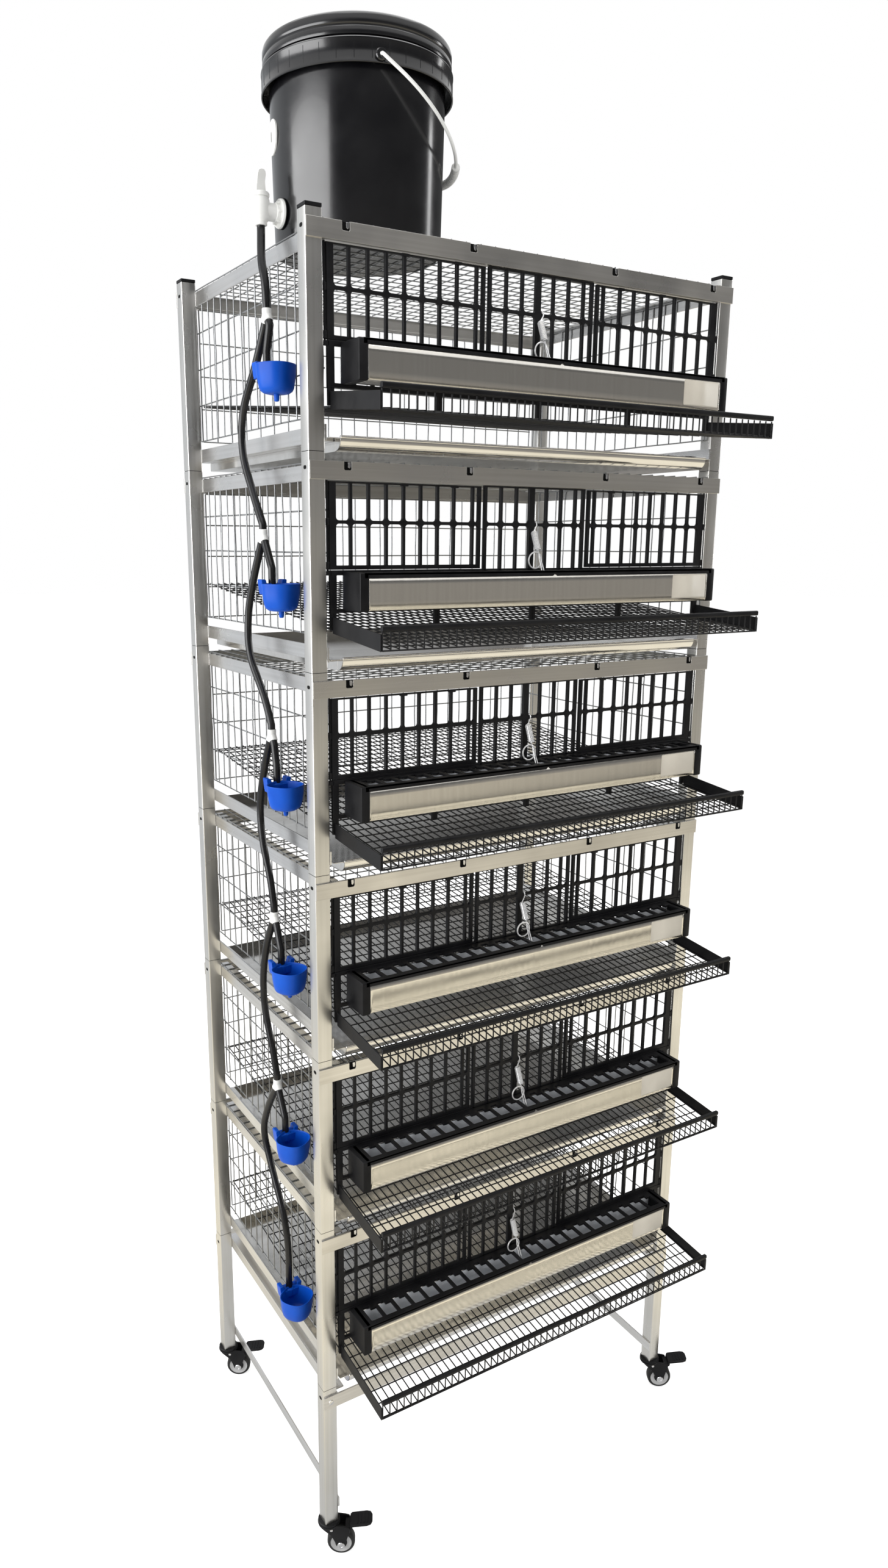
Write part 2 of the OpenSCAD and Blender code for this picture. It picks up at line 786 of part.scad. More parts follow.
module feeder_trough(k) {
    bottom = -trough_bottom_drop;
    front = feeder_front + seat_gap;
    back = feeder_back - cap_t / 2;
    lip = -feeder_drop - top_t - fit_gap;
    fold = top_t;
    color(sheet_metal)
    translate([0, 0, tier_top(k)])
        along_x(2 * fascia_half)
            polygon([[front, lip], [front, bottom], [back - fold, bottom], [back, bottom + fold],
                     [back, bottom + trough_back_rise], [back - trough_t, bottom + trough_back_rise],
                     [back - trough_t, bottom + fold + trough_t / 2],
                     [back - fold - trough_t / 2, bottom + trough_t],
                     [front + trough_t, bottom + trough_t], [front + trough_t, lip]]);
}

module slot_outline(d)
    polygon([[-slot_w / 2, 0], [slot_w / 2, 0], [slot_w / 2, d - slot_step],
             [slot_w * (slot_step_share - 1 / 2), d - slot_step], [slot_w * (slot_step_share - 1 / 2), d],
             [-slot_w / 2, d]]);

module feeder_top(k) {
    y0 = feeder_front - trough_t;
    color(black_plastic)
    translate([0, 0, tier_top(k) - feeder_drop]) {
        difference() {
            union() {
                for (s = [-1, 1])
                    scale([s, 1, 1]) {
                        box([feeder_w / 2 - cap_t, y0, -feeder_h], [feeder_w / 2, feeder_back, 0]);
                        translate([(feeder_w - cap_t) / 2, 0, feeder_drop - sill_drop + bar_w + fit_gap])
                            box([-peg_s / 2, feeder_back - cut, 0],
                                [peg_s / 2, feeder_back + grille_t, peg_s]);
                    }
                box([cap_t / 2 - feeder_w / 2, y0, -top_t], [feeder_w / 2 - cap_t / 2, feeder_back, 0]);
                box([cap_t / 2 - feeder_w / 2, y0, -fascia_trim_h],
                    [feeder_w / 2 - cap_t / 2, feeder_front, 0]);
            }
            for (i = [0:slot_count - 1])
                translate([(i - (slot_count - 1) / 2) * slot_pitch, feeder_front + slot_front_rim,
                           -top_t - cut])
                    linear_extrude(top_t + 2 * cut)
                        slot_outline(feeder_back - slot_back_rim - feeder_front - slot_front_rim);
            translate([0, feeder_front + fit_gap, -fascia_trim_h])
                rotate([90, 0, 0])
                    linear_extrude(trough_t + 2 * fit_gap + cut)
                        polygon([[-top_t, -cut], [top_t, -cut], [0, top_t]]);
        }
    }
}

// Spring: one wire from its hook over the level bar, through the curls, to its hook under the slot rim
spring_x = 1.5;
hook_share = 0.75;
hook_r = grille_t * hook_share + spring_wire;
bar_c = [spring_x, grille_mid, -level_bar_drop];
rim_y = feeder_front + slot_front_rim;
spring_from = [spring_x, grille_mid - hook_r - spring_wire, -level_bar_drop - hook_r];
spring_to = [spring_x, rim_y + 2 * spring_wire, -feeder_drop + 2 * spring_wire];
spring_dir = unit(spring_to - spring_from);
spring_side = cross(spring_dir, [1, 0, 0]);
coil_r = (spring_d - spring_wire) / 2;
coil_l = spring_curls * spring_pitch;
coil_start = spring_from + spring_dir * spring_d / 2;
ramp_share = 0.06;
hook_points = [for (a = [-50:30:190]) bar_c + hook_r * [0, cos(a), sin(a)]];
coil_points = [for (i = [0:spring_curls * 8])
    let (t = i / (spring_curls * 8), a = i * 45, r = coil_r * min(1, t / ramp_share, (1 - t) / ramp_share))
    coil_start + spring_dir * coil_l * t + r * ([1, 0, 0] * cos(a) + spring_side * sin(a))];
end_shares = [1.6, 1.2];
end_points = [spring_to, [spring_x, rim_y + end_shares[0] * spring_wire, -feeder_drop - top_t / 2],
    [spring_x, rim_y + end_shares[1] * spring_wire, -feeder_drop - top_t - spring_wire],
    [spring_x, rim_y - spring_wire, -feeder_drop - top_t - end_shares[0] * spring_wire]];
spring_points = concat(hook_points, coil_points, end_points);
spring_gap = min([for (i = [0:len(coil_points) - 7]) for (j = [i + 6:len(coil_points) - 1])
    norm(coil_points[i] - coil_points[j])]) - spring_wire;
ring_wire = 1.8;
ring_swing = 60;
ring_share = 0.8;
ring_pick = spring_to - spring_dir * spring_d * ring_share;

module feeder_springs() {
    echo(spring_least_gap = spring_gap);
    color(chrome)
    for (k = tiers)
        translate([0, 0, tier_top(k)]) {
            tube(spring_points, spring_wire, 6, [1, 0, 0]);
            translate(ring_pick)
                rotate([0, ring_swing, 0])
                    rotate([90, 0, 0])
                        translate([0, -(ring_d / 2 - ring_wire - spring_wire + 2 * fit_gap), 0])
                            rotate_extrude()
                                translate([ring_d / 2, 0])
                                    circle(d = ring_wire, $fn = 24);
        }
}

// Droppings tray: a folded pan with side flanges and a rolled front edge
module droppings_tray(k) {
    top = 0;
    bottom = -pan_h;
    color(sheet_metal)
    translate([0, 0, tier_top(k) - tray_flange_drop + tray_t]) {
        upright(tray_front, tray_back - tray_front)
            polygon([[-tray_half, top], [-tray_half, top - tray_t], [-pan_half, top - tray_t],
                     [-pan_half, bottom], [pan_half, bottom], [pan_half, top - tray_t],
                     [tray_half, top - tray_t], [tray_half, top],
                     [pan_half - tray_t, top], [pan_half - tray_t, bottom + tray_t],
                     [tray_t - pan_half, bottom + tray_t], [tray_t - pan_half, top]]);
        box([-pan_half, tray_back - tray_t, bottom], [pan_half, tray_back, top]);
        box([-pan_half, tray_front, bottom], [pan_half, tray_front + tray_t, top - roll_d / 2]);
        translate([-pan_half, tray_front, top - roll_d / 2])
            rotate([0, 90, 0])
                cylinder(d = roll_d, h = 2 * pan_half);
    }
}

// Water pail

function pail_r(z) = pail_foot_d / 2 + (pail_top_d - pail_foot_d) / 2 * z / pail_h;

module on_pail()
    translate([pail_c[0], pail_c[1], pail_foot_z])
        children();

module pail()
    color(black_plastic)
    on_pail()
        difference() {
            union() {
                rotate_extrude($fn = 96)
                    polygon([[0, 0], [pail_foot_d / 2 - pail_foot_t, 0], [pail_foot_d / 2, pail_foot_t],
                             [pail_top_d / 2, pail_h], [pail_top_d / 2 - pail_wall, pail_h],
                             [pail_foot_d / 2 - pail_wall, pail_foot_t], [0, pail_foot_t]]);
                translate([0, 0, collar_top])
                    rotate_extrude($fn = 96)
                        polygon([[pail_top_d / 2 - pail_wall, 0], [collar_d / 2 - collar_bevel, 0],
                                 [collar_d / 2, -collar_bevel], [collar_d / 2, -collar_h],
                                 [collar_d / 2 - collar_wall, -collar_h],
                                 [collar_d / 2 - collar_wall, -collar_web],
                                 [pail_top_d / 2 - pail_wall, -collar_web]]);
                for (s = [0, 180])
                    rotate([0, 0, ear_turn + s])
                        translate([pail_top_d / 2 - pail_wall, 0, ear_z])
                            rotate([0, 90, 0])
                                cylinder(d = ear_d, h = ear_r - pail_top_d / 2 + pail_wall);
            }
            for (s = [0, 180])
                rotate([0, 0, ear_turn + s])
                    translate([ear_r - ear_bore_l, 0, ear_z])
                        rotate([0, 90, 0])
                            cylinder(d = bail_wire + 2 * run_gap, h = ear_bore_l + cut);
            translate([0, 0, valve_z])
                rotate([0, -90, 0])
                    cylinder(d = spigot_d + 2 * seat_gap, h = pail_top_d);
        }

module pail_lid() {
    inner = pail_top_d / 2 + seat_gap;
    foot = pail_h + lid_t - lid_skirt_h;
    color(black_plastic)
    on_pail()
        rotate_extrude($fn = 96)
            polygon([[0, pail_h + seat_gap], [inner, pail_h + seat_gap],
                     [inner, foot], [lid_d / 2, foot], [lid_d / 2, foot + lid_skirt_h * lid_groove_shares[0]],
                     [lid_d / 2 - lid_t / 2, foot + lid_skirt_h * lid_groove_shares[1]],
                     [lid_d / 2 - lid_t / 2, foot + lid_skirt_h * lid_groove_shares[2]],
                     [lid_d / 2, foot + lid_skirt_h * lid_groove_shares[3]],
                     [lid_d / 2, pail_h + lid_recess - lid_t], [lid_d / 2 - lid_t, pail_h + lid_recess],
                     [inner - lid_rim_w, pail_h + lid_recess], [inner - lid_rim_w - lid_t, pail_h + lid_t],
                     [0, pail_h + lid_t]]);
}

// Bail: two arms and a half loop, with pins in the ears and a sleeve grip at the middle
module pail_bail()
    color(white_plastic)
    on_pail()
        translate([0, 0, ear_z])
            rotate([0, 0, ear_turn + 90])
                rotate([0, bail_hang, 0]) {
                    for (s = [-1, 1]) {
                        translate([0, s * bail_r, 0])
                            rotate([0, 90, 0])
                                cylinder(d = bail_wire, h = bail_arm + cut);
                        translate([0, s * bail_r, 0])
                            sphere(d = bail_wire + 2 * fit_gap);
                        translate([0, s * (bail_r - ear_bore_l), 0])
                            rotate([-s * 90, 0, 0])
                                cylinder(d = bail_wire, h = ear_bore_l);
                    }
                    translate([bail_arm, 0, 0])
                        rotate([0, 0, -90])
                            rotate_extrude(angle = 180, $fn = 96)
                                translate([bail_r, 0])
                                    circle(d = bail_wire - 2 * fit_gap, $fn = 24);
                    translate([bail_arm, 0, 0])
                        rotate([0, 0, -grip_span / 2])
                            rotate_extrude(angle = grip_span, $fn = 96)
                                translate([bail_r, 0])
                                    circle(d = grip_d, $fn = 24);
                }

// Valve: a flange and a nut hold the pail wall, and the barrel carries the lever
module at_valve()
    on_pail()
        translate([0, 0, valve_z])
            rotate([0, 0, 180])
                children();

module valve_body()
    color(white_plastic)
    at_valve()
        difference() {
            union() {
                translate([valve_r, 0, 0])
                    rotate([0, 90, 0])
                        cylinder(d = valve_flange_d, h = flange_t);
                translate([valve_r - spigot_l, 0, 0])
                    rotate([0, 90, 0])
                        cylinder(d = spigot_d, h = spigot_l + flange_t);
                translate([valve_r - spigot_l - nut_t, 0, 0])
                    rotate([0, 90, 0])
                        cylinder(d = nut_d, h = nut_t, $fn = 6);
                translate([valve_r, 0, 0])
                    rotate([0, 90, 0])
                        cylinder(d = valve_pipe_d, h = barrel_reach);
                translate([valve_r + barrel_reach, 0, -barrel_foot])
                    cylinder(d = barrel_d, h = barrel_foot + barrel_top);
            }
            translate([valve_r + barrel_reach, 0, barrel_top - lever_pin_l - seat_gap])
                cylinder(d = lever_pin_d + 2 * run_gap, h = lever_pin_l + seat_gap + cut);
        }

module valve_lever()
    color(white_plastic)
    at_valve()
        translate([valve_r + barrel_reach, 0, barrel_top]) {
            translate([0, 0, -lever_pin_l])
                cylinder(d = lever_pin_d, h = lever_pin_l + seat_gap + lever_hub_h);
            translate([0, 0, seat_gap])
                cylinder(d = barrel_d - 2 * run_gap, h = lever_hub_h);
            translate([0, paddle_t / 2, seat_gap + lever_hub_h - cut])
                rotate([90, 0, 0])
                    linear_extrude(paddle_t)
                        polygon([[-paddle_w / 2, 0], [paddle_w / 2, 0],
                                 [paddle_w / 2 * paddle_tip_share, paddle_h],
                                 [-paddle_w / 2 * paddle_tip_share, paddle_h]]);
        }

// Drinkers

// Side of the bowl from its foot to its rim, moved inwards by the wall w
function cup_side(w) = [
    [cup_d * cup_r_shares[0] - w / 2, w - cup_h],
    [cup_d * cup_r_shares[1] - w, -cup_h * cup_z_shares[0]],
    [cup_d * cup_r_shares[2] - w, -cup_h * cup_z_shares[1]],
    [cup_d / 2 - w, 0]];

// One of the two horns beside the hose, which lean outwards from the neck block
module cup_horn()
    translate([neck_block[0] / 2, neck_back - horn_l / 2, neck_h])
        rotate([-90, 0, 0])
            linear_extrude(horn_l)
                polygon([[-horn_w, horn_h / 2], [-cut, horn_h / 2], [horn_lean, -horn_h],
                         [horn_lean - horn_w, -horn_h]]);

module drinker_cups()
    color(blue_plastic)
    for (k = tiers)
        translate([cup_x, cup_y, tier_top(k) - cup_drop]) {
            difference() {
                union() {
                    rotate_extrude()
                        polygon(concat([[0, -cup_h]], cup_side(0), [[0, 0]]));
                    translate([0, neck_back + neck_reach - neck_block[1] / 2, (neck_h - neck_block[2]) / 2])
                        cube([neck_block[0], neck_block[1], neck_block[2] + neck_h], center = true);
                    translate([0, neck_back, 0])
                        cylinder(d = neck_d, h = neck_h + 2 * cup_wall);
                    for (s = [-1, 1])
                        scale([s, 1, 1])
                            cup_horn();
                    translate([0, 0, -cup_h - nipple_h])
                        cylinder(d = nipple_d, h = nipple_h + cup_wall);
                }
                rotate_extrude()
                    polygon(concat([[0, cup_wall - cup_h]], cup_side(cup_wall),
                                   [[cup_d / 2 - cup_wall, cup_h], [0, cup_h]]));
            }
        }

module hose_tees()
    color(white_plastic)
    for (k = [1:tier_count - 1])
        translate([hose_x, tee_y[k - 1], tier_top(k) - tee_fork_drop]) {
            cylinder(d = tee_d, h = tee_h - tee_d / 2);
            sphere(d = tee_d + 2 * fit_gap);
            for (lean = [-tee_lean, tee_lean])
                rotate([180 + lean, 0, 0])
                    cylinder(d = tee_d, h = tee_leg);
        }

// A stretch leaves both of its ends straight, along the leads given for them
module hose(from, from_dir, middle, to, to_dir, n) {
    inner = concat([from + from_dir * hose_lead], middle, [to + to_dir * hose_lead]);
    tube(concat([from], smooth(inner, n), [to]), hose_d, hose_sides, [1, 0, 0]);
}

module water_hose() {
    outlet = [-(pail_x + valve_r + barrel_reach), -pail_y,
              pail_foot_z + valve_z - barrel_foot - seat_gap - top_tier];
    down = [0, 0, -1];
    next = [0, 0, -tier_pitch];
    last = tier_count - 1;
    color(black_plastic) {
        translate([0, 0, top_tier])
            hose(outlet, down, on_line(supply_route), tee_inlet(1), -down, 1);
        for (k = [1:last])
            translate([0, 0, tier_top(k)]) {
                hose(tee_end(k, 1), tee_way(1), on_line(loop_routes[k - 1]),
                     next + (k < last ? tee_inlet(k + 1) : neck_end), -down, 2);
                hose(tee_end(k, -1), tee_way(-1), [], neck_end, -down, 1);
            }
    }
}

// Casters: local +X is the way that the wheel trails
module at_caster(i)
    at_corner(corners[i])
        rotate([0, 0, caster_heading])
            children();

module caster_fork(i) {
    inner = wheel_w / 2 + fork_gap;
    outer = inner + fork_wall;
    top = caster_h - seat_gap;
    color(black_plastic)
    at_caster(i) {
        translate([0, 0, top - raceway_h])
            cylinder(d = raceway_d, h = raceway_h);
        translate([0, 0, top - cut])
            cylinder(d = stem_d, h = socket_l - cut);
        for (s = [-1, 1])
            translate([0, s * (inner + fork_wall / 2) + fork_wall / 2, 0])
                rotate([90, 0, 0])
                    linear_extrude(fork_wall)
                        polygon([[-raceway_d * fork_neck_share, top - raceway_h / 2],
                                 [raceway_d * fork_neck_share, top - raceway_h / 2],
                                 [pedal_pin_x + pedal_pin_d, top - raceway_h],
                                 [pedal_pin_x + pedal_pin_d, pedal_pin_z - pedal_pin_d],
                                 [trail + boss_d / 2, axle_z - boss_d / 4],
                                 [trail + boss_d / 4, axle_z - boss_d / 2],
                                 [trail - boss_d / 4, axle_z - boss_d / 2], [trail - boss_d / 2, axle_z]]);
        translate([trail, outer + boss_t, axle_z])
            rotate([90, 0, 0])
                cylinder(d = axle_d, h = 2 * (outer + boss_t));
        for (s = [-1, 1])
            translate([trail, s * (outer + boss_t / 2) + boss_t / 2, axle_z])
                rotate([90, 0, 0])
                    cylinder(d = boss_d, h = boss_t);
        translate([pedal_pin_x, outer, pedal_pin_z])
            rotate([90, 0, 0])
                cylinder(d = pedal_pin_d, h = 2 * outer);
    }
}

module caster_wheel(i) {
    color(black_plastic)
    at_caster(i)
        translate([trail, 0, axle_z])
            rotate([90, 0, 0])
                rotate_extrude()
                    polygon([[axle_d / 2 + run_gap, -hub_w / 2], [hub_d / 2, -hub_w / 2],
                             [hub_d / 2, -wheel_w / 3], [wheel_d * rim_share, -wheel_w / 3],
                             [wheel_d * rim_share, -wheel_w / 2], [wheel_d / 2 - tyre_round, -wheel_w / 2],
                             [wheel_d / 2, tyre_round - wheel_w / 2], [wheel_d / 2, wheel_w / 2 - tyre_round],
                             [wheel_d / 2 - tyre_round, wheel_w / 2], [wheel_d * rim_share, wheel_w / 2],
                             [wheel_d * rim_share, wheel_w / 3], [hub_d / 2, wheel_w / 3],
                             [hub_d / 2, hub_w / 2], [axle_d / 2 + run_gap, hub_w / 2]]);
}

// Brake pedal: a broad tread on two cranked webs that turn on the pin across the fork
module caster_pedal(i) {
    w = wheel_w + 2 * fork_gap - 2 * seat_gap;
    color(black_plastic)
    at_caster(i)
        difference() {
            union() {
                translate([pedal_pin_x, w / 2, pedal_pin_z])
                    rotate([90, 0, 0])
                        cylinder(d = pedal_pin_d * 2, h = w);
                translate([0, w / 2, 0])
                    rotate([90, 0, 0])
                        linear_extrude(w)
                            translate([pedal_pin_x, pedal_pin_z])
                                polygon([[0, -pedal_pin_d], [2 * pedal_pin_d, 0],
                                         [2 * pedal_pin_d, pedal_rise], [pedal_pin_d, pedal_rise],
                                         [pedal_pin_d, pedal_pin_d], [0, pedal_pin_d]]);
                translate([0, pedal_w / 2, 0])
                    rotate([90, 0, 0])
                        linear_extrude(pedal_w)
                            translate([pedal_pin_x, pedal_pin_z + pedal_rise])
                                polygon([[pedal_pin_d * tread_share, -pedal_t], [pedal_l, 0],
                                         [pedal_l, pedal_t], [pedal_pin_d * tread_share, 0]]);
            }
            translate([pedal_pin_x, pedal_w, pedal_pin_z])
                rotate([90, 0, 0])
                    cylinder(d = pedal_pin_d + 2 * run_gap, h = 2 * pedal_w);
        }
}

// Which nodes to show

corner_posts();
post_plugs();
cross_rails();
side_rails();
roof_mesh();
wall_mesh();
floor_mesh();
egg_tray_edging();
front_grilles();
feeder_springs();
for (k = tiers) {
    mirror([1, 0, 0]) door(k);
    door(k);
    droppings_tray(k);
    feeder_trough(k);
    feeder_top(k);
}
for (i = [0:3]) {
    caster_fork(i);
    caster_wheel(i);
    caster_pedal(i);
}
pail();
pail_lid();
pail_bail();
valve_body();
valve_lever();
drinker_cups();
hose_tees();
water_hose();
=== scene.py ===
"""Looks of a six-tier quail cage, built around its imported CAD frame.

Lengths are millimetres of the shared frame and become metres when a piece is made; the
stage alone is in metres. Tier 1 is the top tier. +X is right and +Y is back.
"""

from __future__ import annotations

import json
import logging
import math
import random
from dataclasses import dataclass
from enum import Enum, IntEnum
from typing import Iterable, Sequence

import bmesh
import bpy
from mathutils import Matrix, Vector

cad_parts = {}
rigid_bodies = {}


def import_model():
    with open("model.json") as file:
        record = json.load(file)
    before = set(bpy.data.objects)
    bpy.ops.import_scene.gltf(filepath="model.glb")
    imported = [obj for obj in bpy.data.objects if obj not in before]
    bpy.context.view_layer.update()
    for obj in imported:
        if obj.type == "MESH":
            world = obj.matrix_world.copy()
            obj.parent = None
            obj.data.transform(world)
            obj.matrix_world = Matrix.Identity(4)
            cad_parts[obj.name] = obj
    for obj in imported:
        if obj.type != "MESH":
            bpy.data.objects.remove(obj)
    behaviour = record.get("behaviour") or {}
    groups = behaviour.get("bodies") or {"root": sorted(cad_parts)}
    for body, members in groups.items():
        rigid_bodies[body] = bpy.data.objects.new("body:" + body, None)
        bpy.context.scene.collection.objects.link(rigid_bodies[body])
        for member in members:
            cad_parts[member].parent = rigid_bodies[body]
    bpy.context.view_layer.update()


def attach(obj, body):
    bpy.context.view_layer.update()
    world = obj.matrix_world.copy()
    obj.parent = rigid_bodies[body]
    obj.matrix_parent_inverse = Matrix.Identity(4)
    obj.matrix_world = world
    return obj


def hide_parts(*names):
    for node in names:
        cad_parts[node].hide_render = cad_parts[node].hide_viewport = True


LOG = logging.getLogger("quail_cage")
MM = 0.001
TINY = 1e-6
JUST_OVER_TWO = 2.01
Point = Sequence[float]
Span = tuple[float, float]
Spot = tuple[float, float, float]
Box = tuple[float, float, float, float]
Outline = tuple[Span, ...]
Colour = tuple[float, float, float]
Object = bpy.types.Object
Socket = bpy.types.NodeSocket
TIERS = range(1, 7)
TEES = range(1, 6)
BASE = 7
WIRE_SEED = 7
UPRIGHT = Matrix.Rotation(math.radians(90), 4, "X")
LYING = Matrix.Rotation(math.radians(90), 4, "Y")
SIDEWAYS = Matrix(((0, 0, 1, 0), (1, 0, 0, 0), (0, 1, 0, 0), (0, 0, 0, 1)))
RIGHT_WAY = Vector((1, 0, 0))


class Corner(Enum):
    """Corners of the frame, as signs of X and Y."""

    FRONT_LEFT = (-1, -1)
    FRONT_RIGHT = (1, -1)
    BACK_LEFT = (-1, 1)
    BACK_RIGHT = (1, 1)

    @property
    def label(self) -> str:
        """The corner's part of a body's name."""
        return self.name.lower()


class Side(IntEnum):
    """Left and right, as signs of X."""

    LEFT = -1
    RIGHT = 1


class Face(IntEnum):
    """Front and back, as signs of Y."""

    FRONT = -1
    BACK = 1


class Slot(Enum):
    """Material slots of the part's record."""

    FRAME = "frame_metal"
    WIRE = "galvanised_wire"
    COATED = "coated_wire"
    BLACK = "black_moulding"
    SHEET = "trough_sheet"
    SPRING = "spring_steel"
    TRAY = "tray_sheet"
    GLOSS = "black_gloss"
    WHITE = "white_moulding"
    BLUE = "blue_moulding"
    HOSE = "hose_rubber"
    RUBBER = "wheel_rubber"


@dataclass(frozen=True)
class Sizes:
    """Main sizes of the part, as in its source."""

    half_w: float = 400.0
    half_d: float = 257.5
    pitch: float = 310.0
    post: float = 25.4
    rise: float = 13.0
    leg_foot: float = 72.0
    base_top: float = 342.0
    rail_h: float = 25.0
    rail_t: float = 3.0
    in_x: float = 374.6
    rail_face: float = 371.6
    lip_y: float = -395.5
    lip_drop: float = 256.0
    floor_half: float = 363.1
    floor_back: float = 247.3
    floor_lift: float = 3.4
    fall: float = math.radians(6.0)
    grille_y: float = -253.0
    grille_t: float = 6.0
    level_bar: float = -83.0
    door_outer: float = 368.0
    door_inner: float = 106.0
    pin_x: float = 370.6
    feeder_front: float = -309.5
    feeder_back: float = -256.3

    def top(self, tier: int) -> float:
        """Height of a tier's front rail top; tier 7 is the base."""
        return self.base_top + (BASE - tier) * self.pitch

    def floor_z(self, y: float) -> float:
        """Drop of the floor's upper wires below the rail top at a depth y."""
        return -self.lip_drop + (y - self.lip_y) * math.tan(self.fall) + self.floor_lift

    def corner(self, corner: Corner) -> Span:
        """Middle of a corner post."""
        sx, sy = corner.value
        return sx * (self.half_w - self.post / 2), sy * (self.half_d - self.post / 2)


S = Sizes()


@dataclass(frozen=True)
class WaterSizes:
    """Places that the pail, the valve, the hose, the tees and the cups share."""

    pail_x: float = -234.0
    pail_y: float = -98.0
    foot_gap: float = 2.2
    wall_r: float = 126.72
    valve_z: float = 42.0
    reach: float = 33.0
    barrel_foot: float = 20.0
    barrel_top: float = 17.0
    ear_z: float = 219.0
    seat: float = 0.3
    hose_x: float = -400.0
    hose_r: float = 6.3
    tee_y: tuple[float, ...] = (-125.5, -91.5, -105.5, -97.5, -91.5)
    tee_drop: float = 101.0
    tee_head: float = 9.0
    tee_leg: float = 11.0
    tee_lean: float = math.radians(32.0)
    cup_x: float = -401.6
    cup_y: float = -157.5
    cup_drop: float = 172.0
    neck_back: float = 32.0
    neck_top: float = 14.8

    @property
    def foot(self) -> float:
        """Height of the pail's foot."""
        return S.top(1) + self.foot_gap

    def tee(self, k: int) -> Vector:
        """Fork of the k-th tee, below its tier's rail top."""
        return Vector((self.hose_x, self.tee_y[k - 1], -self.tee_drop))

    def leg_way(self, side: Face) -> Vector:
        """Direction of a tee's front or back leg."""
        return Vector((0, side * math.sin(self.tee_lean), -math.cos(self.tee_lean)))


W = WaterSizes()


# Finishes


@dataclass(frozen=True)
class Metal:
    """A drawn, rolled or coated metal surface."""

    name: str
    light: Colour
    dark: Colour
    rough: Span
    grain: Spot
    bump: float = 0.05
    metallic: float = 1.0


@dataclass(frozen=True)
class Moulding:
    """A moulded plastic or rubber surface."""

    name: str
    base: Colour
    worn: Colour
    rough: Span
    grain: float = 900.0
    bump: float = 0.08
    coat: float = 0.0
    shine: float = 0.5


class Finish(Enum):
    """The finishes of this part."""

    POST = Metal("post_metal", (0.82, 0.81, 0.79), (0.66, 0.65, 0.62), (0.24, 0.38), (200, 200, 3), 0.02)
    RAIL = Metal("rail_metal", (0.80, 0.78, 0.75), (0.62, 0.60, 0.56), (0.24, 0.40), (3, 200, 200), 0.02)
    SIDE = Metal("side_metal", (0.84, 0.84, 0.84), (0.68, 0.67, 0.66), (0.20, 0.34), (200, 3, 200), 0.02)
    FASCIA = Metal("fascia_metal", (0.88, 0.85, 0.79), (0.80, 0.77, 0.71), (0.15, 0.22), (190, 120, 3), 0.02)
    # Painted light: a pale matte copy of the trough's sheet for its inner faces, coloured as if lit by light
    # through the slots.
    LINING = Metal("trough_lining", (0.90, 0.93, 0.97), (0.72, 0.75, 0.80), (0.40, 0.55), (30, 60, 60),
                   0.05, 0.0)
    TRAY = Metal("tray_metal", (0.88, 0.87, 0.85), (0.74, 0.72, 0.69), (0.10, 0.20), (6, 60, 60), 0.03)
    WIRE = Metal("galvanised_wire", (0.40, 0.41, 0.42), (0.24, 0.245, 0.25), (0.30, 0.46), (90, 90, 90),
                 0.10, 0.9)
    BRIGHT = Metal("bright_metal", (0.84, 0.84, 0.85), (0.58, 0.58, 0.60), (0.12, 0.26), (120, 120, 120),
                   0.03)
    SPRING = Metal("spring_metal", (0.95, 0.95, 0.95), (0.84, 0.84, 0.85), (0.18, 0.30), (120, 120, 120),
                   0.02, 0.45)
    COATED = Moulding("coated_wire", (0.006, 0.006, 0.007), (0.016, 0.016, 0.017), (0.34, 0.50), 600, 0.10,
                      shine=0.25)
    BLACK = Moulding("black_moulding", (0.005, 0.005, 0.006), (0.012, 0.012, 0.013), (0.36, 0.54), shine=0.18)
    GLOSS = Moulding("black_gloss", (0.003, 0.003, 0.004), (0.006, 0.006, 0.007), (0.15, 0.24), 300, 0.02,
                     0.1, 0.7)
    # Painted shade: a flat near-black that stands in for the shade inside slots, seams and gaps.
    DARK = Moulding("dark_hole", (0.003, 0.003, 0.003), (0.006, 0.006, 0.006), (0.6, 0.8), shine=0.1)
    WHITE = Moulding("white_moulding", (0.86, 0.86, 0.84), (0.76, 0.76, 0.73), (0.30, 0.45))
    BLUE = Moulding("blue_moulding", (0.001, 0.055, 0.38), (0.003, 0.080, 0.48), (0.30, 0.44), 500, 0.04,
                    0.0, 0.18)
    HOSE = Moulding("hose_rubber", (0.005, 0.005, 0.006), (0.012, 0.012, 0.013), (0.20, 0.32), 260, 0.03,
                    shine=0.4)
    TYRE = Moulding("tyre_rubber", (0.008, 0.008, 0.008), (0.02, 0.02, 0.02), (0.42, 0.6), shine=0.3)
    DISC = Moulding("wheel_disc", (0.52, 0.52, 0.52), (0.42, 0.42, 0.42), (0.32, 0.45))
    PLATE = Moulding("bare_plate", (0.70, 0.65, 0.55), (0.62, 0.57, 0.48), (0.38, 0.50), 300, 0.03)


